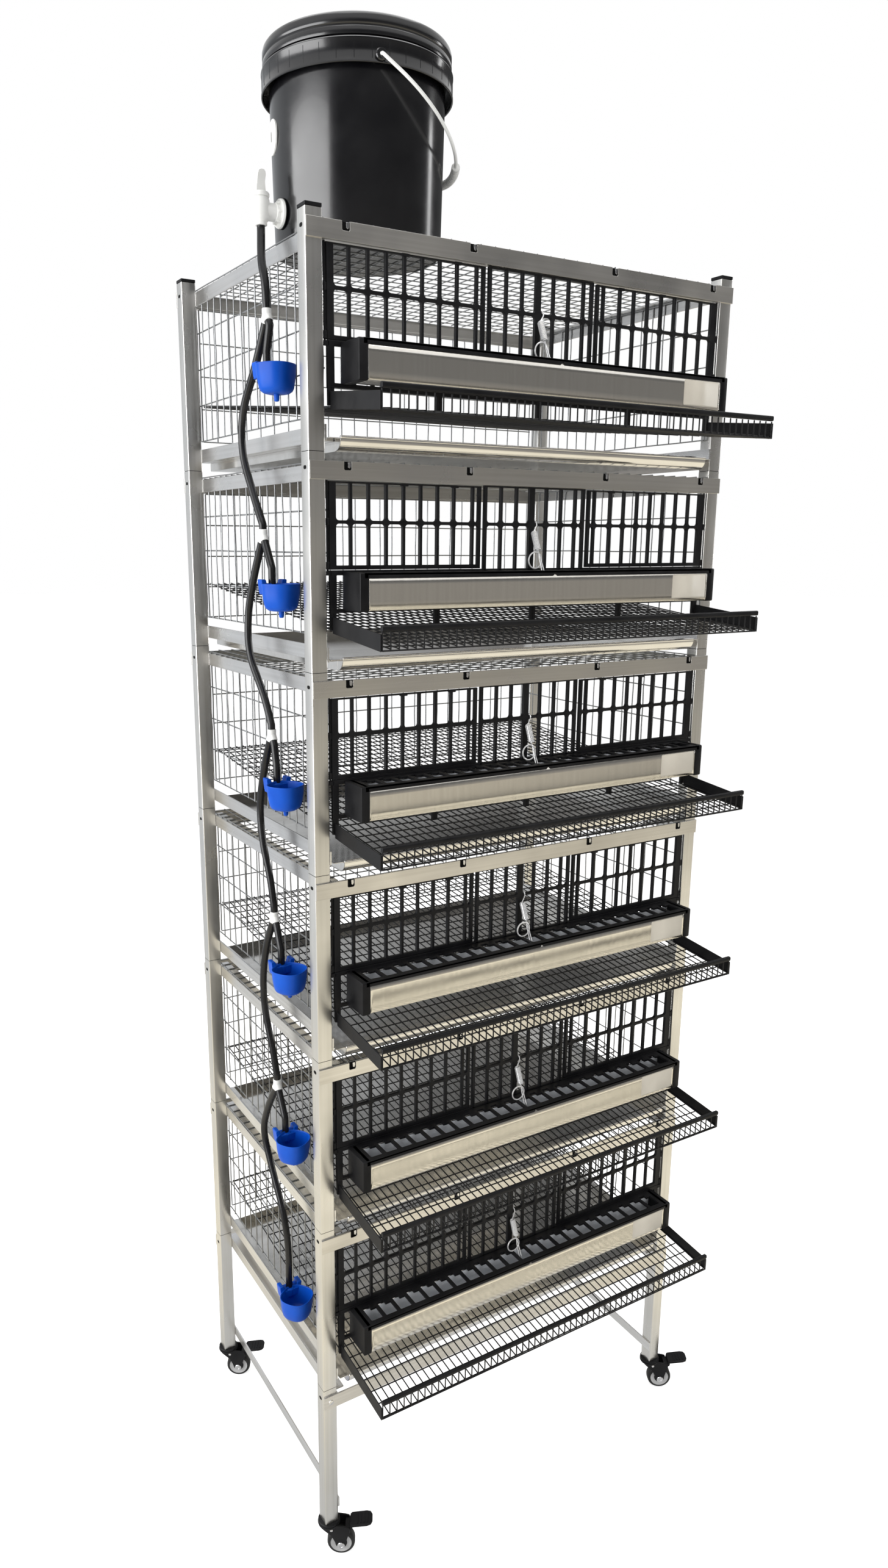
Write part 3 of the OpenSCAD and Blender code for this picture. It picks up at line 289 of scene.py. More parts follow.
class Wiring:
    """Short ways to add and join nodes in one node tree."""

    def __init__(self, tree: bpy.types.NodeTree) -> None:
        """Takes the node tree that is wired."""
        self.tree = tree

    def add(self, kind: str, **settings: object) -> bpy.types.Node:
        """Adds a node.

        Args:
            kind: The node's type name.
            **settings: Values for the node's own properties.

        Returns:
            The new node.
        """
        node = self.tree.nodes.new(kind)
        for key, value in settings.items():
            setattr(node, key, value)
        return node

    def feed(self, socket: Socket, value: object) -> None:
        """Links a socket into another one, or sets the other one to a plain value.

        Args:
            socket: The socket that is fed.
            value: The socket or the plain value that feeds it.
        """
        if isinstance(value, Socket):
            self.tree.links.new(value, socket)
        else:
            socket.default_value = value

    def math(self, operation: str, *values: object, clamp: bool = False) -> Socket:
        """A sum or other step of arithmetic.

        Args:
            operation: The math node's operation.
            *values: Sockets or numbers, in the node's order.
            clamp: Keeps the result between 0 and 1.

        Returns:
            The socket that holds the result.
        """
        node = self.add("ShaderNodeMath", operation=operation, use_clamp=clamp)
        for socket, value in zip(node.inputs, values):
            self.feed(socket, value)
        return node.outputs[0]

    def span(self, value: Socket, start: Span,
             end: tuple[object, object] = (0.0, 1.0)) -> Socket:
        """Maps one range of a value to another.

        Args:
            value: The socket that is mapped.
            start: The range that it comes from.
            end: The range that it goes to, as numbers or sockets.

        Returns:
            The socket that holds the mapped value.
        """
        node = self.add("ShaderNodeMapRange")
        self.feed(node.inputs["Value"], value)
        for key, number in zip(("From Min", "From Max", "To Min", "To Max"), (*start, *end)):
            self.feed(node.inputs[key], number)
        return node.outputs["Result"]

    def mix(self, factor: Socket, first: object, second: object) -> Socket:
        """A mix of two colours.

        Args:
            factor: The share of the second colour.
            first: A socket or a colour with alpha.
            second: A socket or a colour with alpha.

        Returns:
            The socket that holds the mixed colour.
        """
        node = self.add("ShaderNodeMix", data_type="RGBA")
        for key, value in (("Factor", factor), ("A", first), ("B", second)):
            self.feed(node.inputs[key], value)
        return node.outputs["Result"]

    def noise(self, place: Socket, scale: object, detail: float) -> Socket:
        """A noise texture.

        Args:
            place: The vector that it is read at.
            scale: Its scale, as a number or a socket.
            detail: Its detail.

        Returns:
            The socket that holds its grey value.
        """
        node = self.add("ShaderNodeTexNoise")
        for key, value in (("Vector", place), ("Scale", scale), ("Detail", detail)):
            self.feed(node.inputs[key], value)
        return node.outputs["Fac"]

    def seen(self) -> Socket:
        """One for rays of the eye, of reflections and through clear pieces, and zero for light.

        Returns:
            The socket that holds the mask.
        """
        path = self.add("ShaderNodeLightPath")
        total = path.outputs["Is Camera Ray"]
        for name in ("Is Glossy Ray", "Is Transmission Ray"):
            total = self.math("ADD", total, path.outputs[name], clamp=True)
        return total


class Palette:
    """Makes each material once and hands it out by its finish."""

    noise_span = (0.3, 0.7)
    streak_detail, streak_share = 5.0, 0.55
    patch_scale, patch_detail, patch_share = 9.0, 3.0, 0.45
    scuff_scale, scuff_detail, grain_detail = 22.0, 6.0, 2.0
    relief_depth = 0.001

    def __init__(self) -> None:
        """Builds the two shared node groups."""
        self.made: dict[str, bpy.types.Material] = {}
        self.metal_group = self._metal_group()
        self.mould_group = self._mould_group()

    @staticmethod
    def _group(name: str, inputs: Iterable[tuple[str, str]]) -> bpy.types.NodeTree:
        """Starts a shader group with Color, Roughness and Height outputs.

        Args:
            name: The group's name.
            inputs: Pairs of socket name and socket type.

        Returns:
            The new node tree, with its input and output nodes in place.
        """
        tree = bpy.data.node_groups.new(name, "ShaderNodeTree")
        outputs = (("Color", "NodeSocketColor"), ("Roughness", "NodeSocketFloat"),
                   ("Height", "NodeSocketFloat"))
        for way, sockets in (("INPUT", inputs), ("OUTPUT", outputs)):
            for socket, kind in sockets:
                tree.interface.new_socket(socket, in_out=way, socket_type=kind)
        tree.nodes.new("NodeGroupInput").name = "in"
        tree.nodes.new("NodeGroupOutput").name = "out"
        return tree

    def _metal_group(self) -> bpy.types.NodeTree:
        """Streaks along the grain with broad dull patches over them.

        Returns:
            The node group.
        """
        tree = self._group("drawn_metal", (
            ("Light", "NodeSocketColor"), ("Dark", "NodeSocketColor"), ("Grain", "NodeSocketVector"),
            ("Rough Low", "NodeSocketFloat"), ("Rough High", "NodeSocketFloat")))
        wiring = Wiring(tree)
        given, result = tree.nodes["in"].outputs, tree.nodes["out"].inputs
        place = wiring.add("ShaderNodeTexCoord").outputs["Object"]
        stretch = wiring.add("ShaderNodeVectorMath", operation="MULTIPLY")
        wiring.feed(stretch.inputs[0], place)
        wiring.feed(stretch.inputs[1], given["Grain"])
        streak = wiring.noise(stretch.outputs["Vector"], 1.0, self.streak_detail)
        patch = wiring.noise(place, self.patch_scale, self.patch_detail)
        dulled = wiring.math("MULTIPLY", patch, self.patch_share)
        both = wiring.math("MULTIPLY_ADD", streak, self.streak_share, dulled)
        blend = wiring.span(both, self.noise_span)
        rough = wiring.span(patch, self.noise_span, (given["Rough Low"], given["Rough High"]))
        wiring.feed(result["Color"], wiring.mix(blend, given["Light"], given["Dark"]))
        wiring.feed(result["Roughness"], rough)
        wiring.feed(result["Height"], streak)
        return tree

    def _mould_group(self) -> bpy.types.NodeTree:
        """Fine moulding grain with faint scuffs and dust.

        Returns:
            The node group.
        """
        tree = self._group("moulded_plastic", (
            ("Base", "NodeSocketColor"), ("Worn", "NodeSocketColor"), ("Grain", "NodeSocketFloat"),
            ("Rough Low", "NodeSocketFloat"), ("Rough High", "NodeSocketFloat")))
        wiring = Wiring(tree)
        given, result = tree.nodes["in"].outputs, tree.nodes["out"].inputs
        place = wiring.add("ShaderNodeTexCoord").outputs["Object"]
        scuff = wiring.noise(place, self.scuff_scale, self.scuff_detail)
        blend = wiring.span(scuff, self.noise_span)
        rough = wiring.span(scuff, self.noise_span, (given["Rough Low"], given["Rough High"]))
        wiring.feed(result["Color"], wiring.mix(blend, given["Base"], given["Worn"]))
        wiring.feed(result["Roughness"], rough)
        wiring.feed(result["Height"], wiring.noise(place, given["Grain"], self.grain_detail))
        return tree

    def get(self, finish: Finish) -> bpy.types.Material:
        """Gives the material of a finish, and makes it when it is first asked for.

        Args:
            finish: The finish.

        Returns:
            Its material.
        """
        recipe = finish.value
        if recipe.name in self.made:
            return self.made[recipe.name]
        mat = bpy.data.materials.new(recipe.name)
        mat.use_nodes = True
        wiring = Wiring(mat.node_tree)
        shader = mat.node_tree.nodes["Principled BSDF"]
        is_metal = isinstance(recipe, Metal)
        node = wiring.add("ShaderNodeGroup", node_tree=self.metal_group if is_metal else self.mould_group)
        node.inputs["Rough Low"].default_value, node.inputs["Rough High"].default_value = recipe.rough
        node.inputs["Grain"].default_value = recipe.grain
        if is_metal:
            node.inputs["Light"].default_value = (*recipe.light, 1)
            node.inputs["Dark"].default_value = (*recipe.dark, 1)
            shader.inputs["Metallic"].default_value = recipe.metallic
        else:
            node.inputs["Base"].default_value = (*recipe.base, 1)
            node.inputs["Worn"].default_value = (*recipe.worn, 1)
            shader.inputs["Coat Weight"].default_value = recipe.coat
            shader.inputs["Specular IOR Level"].default_value = recipe.shine
        relief = wiring.add("ShaderNodeBump")
        relief.inputs["Strength"].default_value = recipe.bump
        relief.inputs["Distance"].default_value = self.relief_depth
        wiring.feed(shader.inputs["Base Color"], node.outputs["Color"])
        wiring.feed(shader.inputs["Roughness"], node.outputs["Roughness"])
        wiring.feed(relief.inputs["Height"], node.outputs["Height"])
        wiring.feed(shader.inputs["Normal"], relief.outputs["Normal"])
        self.made[recipe.name] = mat
        return mat


# Mesh building


def rounded(x0: float, y0: float, x1: float, y1: float, r: float, n: int = 3) -> list[Span]:
    """Outline of a rectangle with round corners, anticlockwise.

    Args:
        x0: Left edge.
        y0: Lower edge.
        x1: Right edge.
        y1: Upper edge.
        r: Corner radius, at most about half of a side.
        n: Steps in each corner.

    Returns:
        The outline's points, from the lower right corner on.
    """
    r = min(r, (x1 - x0) / JUST_OVER_TWO, (y1 - y0) / JUST_OVER_TWO)
    corners = ((x1 - r, y0 + r, -90), (x1 - r, y1 - r, 0), (x0 + r, y1 - r, 90), (x0 + r, y0 + r, 180))
    points = []
    for cx, cy, a0 in corners:
        for i in range(n + 1):
            a = math.radians(a0 + 90 * i / n)
            points.append((cx + r * math.cos(a), cy + r * math.sin(a)))
    return points


def oblong(x0: float, y0: float, x1: float, y1: float) -> Outline:
    """Outline of a plain rectangle, anticlockwise."""
    return (x0, y0), (x1, y0), (x1, y1), (x0, y1)


def axis_frame(start: Point, end: Point) -> Matrix:
    """A matrix whose Z axis runs from start to end, at start."""
    way = Vector(end) - Vector(start)
    return Matrix.Translation(Vector(start)) @ way.to_track_quat("Z", "Y").to_matrix().to_4x4()


def places(lo: float, hi: float, pitch: float) -> list[float]:
    """Evenly spaced places from lo to hi, as close to the pitch as fits."""
    n = max(1, round((hi - lo) / pitch))
    return [lo + (hi - lo) * i / n for i in range(n + 1)]


def circle(centre: Vector, radius: float, count: int) -> list[Vector]:
    """A closed ring of points that stands upright and faces the front.

    Args:
        centre: Middle of the ring.
        radius: Its radius.
        count: Points round it.

    Returns:
        The points; the last is the first again.
    """
    turns = [2 * math.pi * i / count for i in range(count)]
    ring = [centre + radius * Vector((math.cos(a), 0, math.sin(a))) for a in turns]
    return ring + ring[:1]


def shown(name: str, data: bpy.types.ID) -> Object:
    """Adds an object to the scene.

    Args:
        name: Its name.
        data: The mesh, curve, lamp or camera that it shows.

    Returns:
        The new object.
    """
    obj = bpy.data.objects.new(name, data)
    bpy.context.scene.collection.objects.link(obj)
    return obj


def hand_over(obj: Object, body: str, nodes: Sequence[str], slot: Slot) -> Object:
    """Lets a piece ride on its body and stand for its nodes.

    Args:
        obj: The piece.
        body: The CAD body that it rides on.
        nodes: CAD nodes that it stands for.
        slot: The record's material slot; not used.

    Returns:
        The piece.
    """
    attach(obj, body)
    if nodes:
        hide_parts(*nodes)
    return obj


class Piece:
    """A mesh under construction, in millimetres."""

    soft_angle = math.radians(40)

    def __init__(self, palette: Palette, *finishes: Finish) -> None:
        """Starts an empty mesh.

        Args:
            palette: Gives the materials.
            *finishes: The finishes that paint chooses among; it starts with the first.
        """
        self.bm = bmesh.new()
        self.finishes = finishes
        self.materials = [palette.get(finish) for finish in finishes]
        self.paint = finishes[0]

    def _claim(self, verts: Iterable[bmesh.types.BMVert], matrix: Matrix | None = None) -> None:
        """Paints the faces of new vertices and moves them into place.

        Args:
            verts: The new vertices.
            matrix: Where they go, if they have to move.
        """
        verts = list(verts)
        if matrix is not None:
            bmesh.ops.transform(self.bm, matrix=matrix, verts=verts)
        index = self.finishes.index(self.paint)
        for face in {f for v in verts for f in v.link_faces}:
            face.material_index = index

    def bar(self, lo: Point, hi: Point) -> None:
        """A box between two corners."""
        middle = [(a + b) / 2 for a, b in zip(lo, hi)]
        self.bar_in(Matrix.Translation(middle), [abs(b - a) for a, b in zip(lo, hi)])

    def bar_in(self, matrix: Matrix, size: Point) -> None:
        """A box of a given size, centred where matrix puts it."""
        made = bmesh.ops.create_cube(self.bm, size=1.0)
        self._claim(made["verts"], matrix @ Matrix.Diagonal((*size, 1)))

    def prism(self, outline: Sequence[Point], depth: float, matrix: Matrix) -> None:
        """An outline in X and Y, raised along Z.

        Args:
            outline: Points of the outline.
            depth: How far it is raised.
            matrix: Where the raised shape goes.
        """
        low = [self.bm.verts.new((x, y, 0)) for x, y in outline]
        high = [self.bm.verts.new((x, y, depth)) for x, y in outline]
        n = len(outline)
        self.bm.faces.new(list(reversed(low)))
        self.bm.faces.new(high)
        for i in range(n):
            j = (i + 1) % n
            self.bm.faces.new((low[i], low[j], high[j], high[i]))
        self._claim(low + high, matrix)

    def lathe(self, profile: Sequence[Point], matrix: Matrix, steps: int = 48, power: float = 2.0) -> None:
        """A profile turned about Z, then placed by matrix.

        Args:
            profile: Radius and height of each point.
            matrix: Where the turned shape goes.
            steps: Points round the axis.
            power: 2 turns a circle; more turns a soft square whose corners keep the radius.
        """
        turns = []
        for i in range(steps):
            c, s = math.cos(2 * math.pi * i / steps), math.sin(2 * math.pi * i / steps)
            pull = 2 ** (1 / power - 0.5) / (abs(c) ** power + abs(s) ** power) ** (1 / power)
            turns.append((c * pull, s * pull))
        rings = []
        for r, z in profile:
            if r < TINY:
                rings.append([self.bm.verts.new((0, 0, z))] * steps)
            else:
                rings.append([self.bm.verts.new((r * c, r * s, z)) for c, s in turns])
        for a, b in zip(rings, rings[1:]):
            for i in range(steps):
                j = (i + 1) % steps
                corners = list(dict.fromkeys((a[i], a[j], b[j], b[i])))
                if len(corners) > 2:
                    self.bm.faces.new(corners)
        self._claim({v for ring in rings for v in ring}, matrix)

    def rod(self, start: Point, end: Point, r: float, steps: int = 20, edge: float = 0.4) -> None:
        """A round bar with softened ends.

        Args:
            start: Middle of one end.
            end: Middle of the other end.
            r: Radius.
            steps: Points round the bar.
            edge: Width of the softened edges.
        """
        length = (Vector(end) - Vector(start)).length
        edge = min(edge, r / 2, length / 4)
        self.lathe([(0, 0), (r - edge, 0), (r, edge), (r, length - edge), (r - edge, length), (0, length)],
                   axis_frame(start, end), steps=steps)

    def tube(self, path: Sequence[Point], r: float, sides: int = 8) -> None:
        """A round wire along points, closed at both ends.

        Args:
            path: Points along the middle of the wire.
            r: Radius.
            sides: Points round the wire.
        """
        pts = [Vector(p) for p in path]
        up = RIGHT_WAY.copy()
        turns = [2 * math.pi * k / sides for k in range(sides)]
        rings = []
        for i, p in enumerate(pts):
            way = (pts[min(i + 1, len(pts) - 1)] - pts[max(i - 1, 0)]).normalized()
            up = up - way * up.dot(way)
            up = up.normalized() if up.length > TINY else way.orthogonal().normalized()
            side = way.cross(up)
            rings.append([self.bm.verts.new(p + r * (up * math.cos(a) + side * math.sin(a))) for a in turns])
        for a, b in zip(rings, rings[1:]):
            for k in range(sides):
                j = (k + 1) % sides
                self.bm.faces.new((a[k], a[j], b[j], b[k]))
        self.bm.faces.new(list(reversed(rings[0])))
        self.bm.faces.new(rings[-1])
        self._claim([v for ring in rings for v in ring])

    def plate(self, outer: Sequence[Point], holes: Sequence[Sequence[Point]], thick: float, edge: float,
              matrix: Matrix) -> None:
        """A flat plate with holes and softened edges, centred on Z = 0 before matrix places it.

        Args:
            outer: Points of the outer outline.
            holes: Points of each hole.
            thick: Thickness.
            edge: Width of the softened edges.
            matrix: Where the plate goes.
        """
        curve = bpy.data.curves.new("plate", "CURVE")
        curve.dimensions, curve.fill_mode = "2D", "BOTH"
        curve.extrude, curve.bevel_depth, curve.offset = thick / 2 - edge, edge, -edge
        curve.bevel_resolution = 1
        for loop in (outer, *holes):
            spline = curve.splines.new("POLY")
            spline.points.add(len(loop) - 1)
            spline.use_cyclic_u = True
            for point, (x, y) in zip(spline.points, loop):
                point.co = (x, y, 0, 1)
        holder = shown("plate", curve)
        graph = bpy.context.evaluated_depsgraph_get()
        mesh = bpy.data.meshes.new_from_object(holder.evaluated_get(graph))
        bpy.data.objects.remove(holder)
        bpy.data.curves.remove(curve)
        old = set(self.bm.verts)
        self.bm.from_mesh(mesh)
        bpy.data.meshes.remove(mesh)
        self._claim([v for v in self.bm.verts if v not in old], matrix)

    def place(self, name: str, body: str, slot: Slot, *nodes: str, edge: float = 0.0,
              angle: float = 35.0) -> Object:
        """Makes the object and hands it to its body.

        Args:
            name: The piece's name.
            body: The CAD body that it rides on.
            slot: The record's material slot.
            *nodes: CAD nodes that it stands for.
            edge: Width of the softened edges; none at 0.
            angle: Edges that turn more than this many degrees stay sharp.

        Returns:
            The new object.
        """
        bmesh.ops.scale(self.bm, vec=(MM, MM, MM), verts=self.bm.verts)
        bmesh.ops.recalc_face_normals(self.bm, faces=self.bm.faces)
        for f in self.bm.faces:
            f.smooth = True
        for e in self.bm.edges:
            if len(e.link_faces) == 2 and e.calc_face_angle(0) > math.radians(angle):
                e.smooth = False
        mesh = bpy.data.meshes.new(name)
        self.bm.to_mesh(mesh)
        self.bm.free()
        for m in self.materials:
            mesh.materials.append(m)
        obj = shown(name, mesh)
        if edge:
            soft = obj.modifiers.new("soft_edge", "BEVEL")
            soft.width, soft.segments, soft.limit_method = edge * MM, 2, "ANGLE"
            soft.angle_limit = self.soft_angle
            soft.harden_normals = True
        return hand_over(obj, body, nodes, slot)


def wires(name: str, lines: Sequence[Sequence[Point]], r: float, material: bpy.types.Material, slot: Slot,
          *nodes: str) -> Object:
    """Round wires along many lines, as one curve object on the cage.

    Args:
        name: The piece's name.
        lines: Points along each wire.
        r: Radius.
        material: The wires' material.
        slot: The record's material slot.
        *nodes: CAD nodes that they stand for.

    Returns:
        The new object.
    """
    curve = bpy.data.curves.new(name, "CURVE")
    curve.dimensions, curve.bevel_depth, curve.bevel_resolution = "3D", r * MM, 2
    curve.use_fill_caps = True
    curve.materials.append(material)
    for line in lines:
        spline = curve.splines.new("POLY")
        spline.points.add(len(line) - 1)
        for knot, p in zip(spline.points, line):
            knot.co = (*(Vector(p) * MM), 1)
    return hand_over(shown(name, curve), "cage", nodes, slot)


# Sub-assemblies


@dataclass
class Frame:
    """Posts, caps, rails, braces and their small fasteners."""

    palette: Palette
    post_round: float = 1.6
    seam: float = 0.9
    core_in: float = 0.8
    core_round: float = 1.2
    core_h: float = 1.2
    core_drop: float = 1.0
    slot_half_w: float = 2.6
    slot_half_h: float = 4.4
    slot_t: float = 0.25
    slot_drop: float = 22.0
    cap_h: float = 5.0
    cap_edge: float = 0.8
    plug_in: float = 1.7
    plug_h: float = 16.0
    tab_shares: tuple[float, ...] = (-0.425, -0.164, 0.172, 0.441)
    notch: Outline = ((6, 0), (6, -10.5), (4.5, -12), (-4.5, -12), (-6, -10.5), (-6, 0))
    tab_half: float = 5.0
    tab_front: float = 2.4
    tab_back: float = 8.0
    tab_low: float = 14.5
    tab_high: float = 12.0
    barb: Outline = ((0.5, -1), (4.6, -1), (5, -6), (3.4, -9.5), (1, -8))
    barb_t: float = 0.6
    barb_out: float = 1.6
    shade_half: float = 7.0
    shade_y: Span = (0.2, 0.8)
    shade_z: Span = (-12.4, -0.2)
    flange: float = 10.0
    flange_gap: float = 0.2
    screw: Outline = ((5, 0), (4.7, 0.8), (2.75, 1.5), (1.4, 1.6), (1.2, 0.9), (0, 0.9))
    side_h: float = 22.0
    side_drop: float = 2.0
    runner_drop: float = 261.0
    ledge: float = 16.0
    ledge_half: float = 246.5
    ledge_lap: float = 0.5
    brace_rise: float = 28.0
    brace_h: float = 19.0
    fold: float = 0.5

    def build(self) -> list[Object]:
        """Makes all frame pieces and returns them."""
        return [*self._posts(), self._cross_rails(), self._side_rails()]

    def _posts(self) -> list[Object]:
        """Stacked lengths of square tube with a seam and a slot at each joint, both filled with painted
        shade, and their caps.

        Returns:
            The posts and the caps.
        """
        p, caps = Piece(self.palette, Finish.POST, Finish.DARK), Piece(self.palette, Finish.BLACK)
        h = S.post / 2
        core, plug = h - self.core_in, h - self.plug_in
        tube = rounded(-h, -h, h, h, self.post_round)
        joint = rounded(-core, -core, core, core, self.core_round)
        wide, tall = self.slot_half_w, self.slot_half_h
        hole = rounded(-wide, -tall, wide, tall, wide, n=4)
        for corner in Corner:
            sx = corner.value[0]
            x, y = S.corner(corner)
            low = S.leg_foot
            for tier in range(BASE, 0, -1):
                top = S.top(tier) + S.rise
                p.prism(tube, top - low - self.seam, Matrix.Translation((x, y, low)))
                # painted shade: a dark core fills the seam and a dark plate fills the slot, standing in for
                # the shade inside the tube
                p.paint = Finish.DARK
                p.prism(joint, self.core_h, Matrix.Translation((x, y, top - self.core_drop)))
                p.prism(hole, self.slot_t, Matrix.Translation((x + sx * h, y, top - self.slot_drop))
                        @ Matrix.Rotation(math.radians(90 * sx), 4, "Y"))
                p.paint = Finish.POST
                low = top
            caps.bar((x - h, y - h, low), (x + h, y + h, low + self.cap_h))
            caps.bar((x - plug, y - plug, low - self.plug_h), (x + plug, y + plug, low))
        return [p.place("posts", "cage", Slot.FRAME, "corner_posts"),
                caps.place("post_caps", "cage", Slot.BLACK, "post_plugs", edge=self.cap_edge)]

    def _cross_rails(self) -> Object:
        """Front and back angles; the front ones have a lanced tab in each notch.

        Returns:
            The rails as one piece.
        """
        p = Piece(self.palette, Finish.RAIL, Finish.BRIGHT, Finish.DARK)
        tabs = [share * 2 * S.half_w for share in self.tab_shares]
        for side in Face:
            face = side * S.half_d
            inner = side * (S.half_d - self.flange)
            for tier in range(1, BASE + 1):
                z = S.top(tier)
                lanced = side is Face.FRONT and tier < BASE
                outline = [(-S.half_w, -S.rail_h), (S.half_w, -S.rail_h), (S.half_w, 0)]
                if lanced:
                    outline += [(x + a, b) for x in reversed(tabs) for a, b in self.notch]
                outline.append((-S.half_w, 0))
                y = face if side is Face.FRONT else face + S.rail_t
                p.prism(outline, S.rail_t, Matrix.Translation((0, y, z)) @ UPRIGHT)
                half, low = S.rail_face - self.flange_gap, z - S.rail_h
                p.bar((-half, min(face, inner), low), (half, max(face, inner), low + S.rail_t))
                if lanced:
                    self._tabs(p, tabs, z)
                if tier == BASE:
                    for sx in Side:
                        at = (sx * (S.half_w - S.post / 2), side * (S.half_d + S.rail_t), z - S.rail_h / 2)
                        self._screw(p, at, (0, side, 0))
        return p.place("cross_rails", "cage", Slot.FRAME, "cross_rails", edge=self.fold)

    def _tabs(self, p: Piece, tabs: Sequence[float], z: float) -> None:
        """Bent tabs in a front rail's notches, with painted shade behind them where the gap lies in shadow.

        Args:
            p: The piece that takes them.
            tabs: Middle of each notch.
            z: Height of the rail's top.
        """
        front = -S.half_d
        p.paint = Finish.BRIGHT
        for x in tabs:
            p.bar((x - self.tab_half, front - self.tab_front, z - self.tab_low),
                  (x + self.tab_half, front + self.tab_back, z - self.tab_high))
            p.prism([(x + a, b) for a, b in self.barb], self.barb_t,
                    Matrix.Translation((0, front - self.barb_out, z)) @ UPRIGHT)
        # painted shade: thin dark bars stand in for the shadow in the gap behind each tab
        p.paint = Finish.DARK
        for x in tabs:
            (y0, y1), (z0, z1) = self.shade_y, self.shade_z
            p.bar((x - self.shade_half, front + y0, z + z0), (x + self.shade_half, front + y1, z + z1))
        p.paint = Finish.RAIL

    def _screw(self, p: Piece, at: Point, way: Point) -> None:
        """A low pan-head screw that stands on a face.

        Args:
            p: The piece that takes it.
            at: Middle of its foot.
            way: Direction out of the face.
        """
        p.paint = Finish.BRIGHT
        p.lathe(self.screw, axis_frame(at, Vector(at) + Vector(way)), steps=16)
        p.paint = Finish.RAIL

    def _side_rails(self) -> Object:
        """Side angles under the roofs, tray runners and the low braces.

        Returns:
            The rails as one piece.
        """
        p = Piece(self.palette, Finish.SIDE)
        tops = [(S.top(t) - self.side_drop, True) for t in range(1, BASE + 1)]
        tops += [(S.top(t) - self.runner_drop, False) for t in TIERS]
        for sx in Side:
            face, back = sx * S.rail_face, sx * S.in_x
            for top, ledge_up in tops:
                low = top - self.side_h
                ledge = top - S.rail_t if ledge_up else low
                p.bar((face, -S.half_d, low), (back, S.half_d, top))
                p.bar((face - sx * self.ledge, -self.ledge_half, ledge),
                      (face + sx * self.ledge_lap, self.ledge_half, ledge + S.rail_t))
            low = S.leg_foot + self.brace_rise
            p.bar((face, -S.half_d, low), (back, S.half_d, low + self.brace_h))
        return p.place("side_rails", "cage", Slot.FRAME, "side_rails", edge=self.fold)


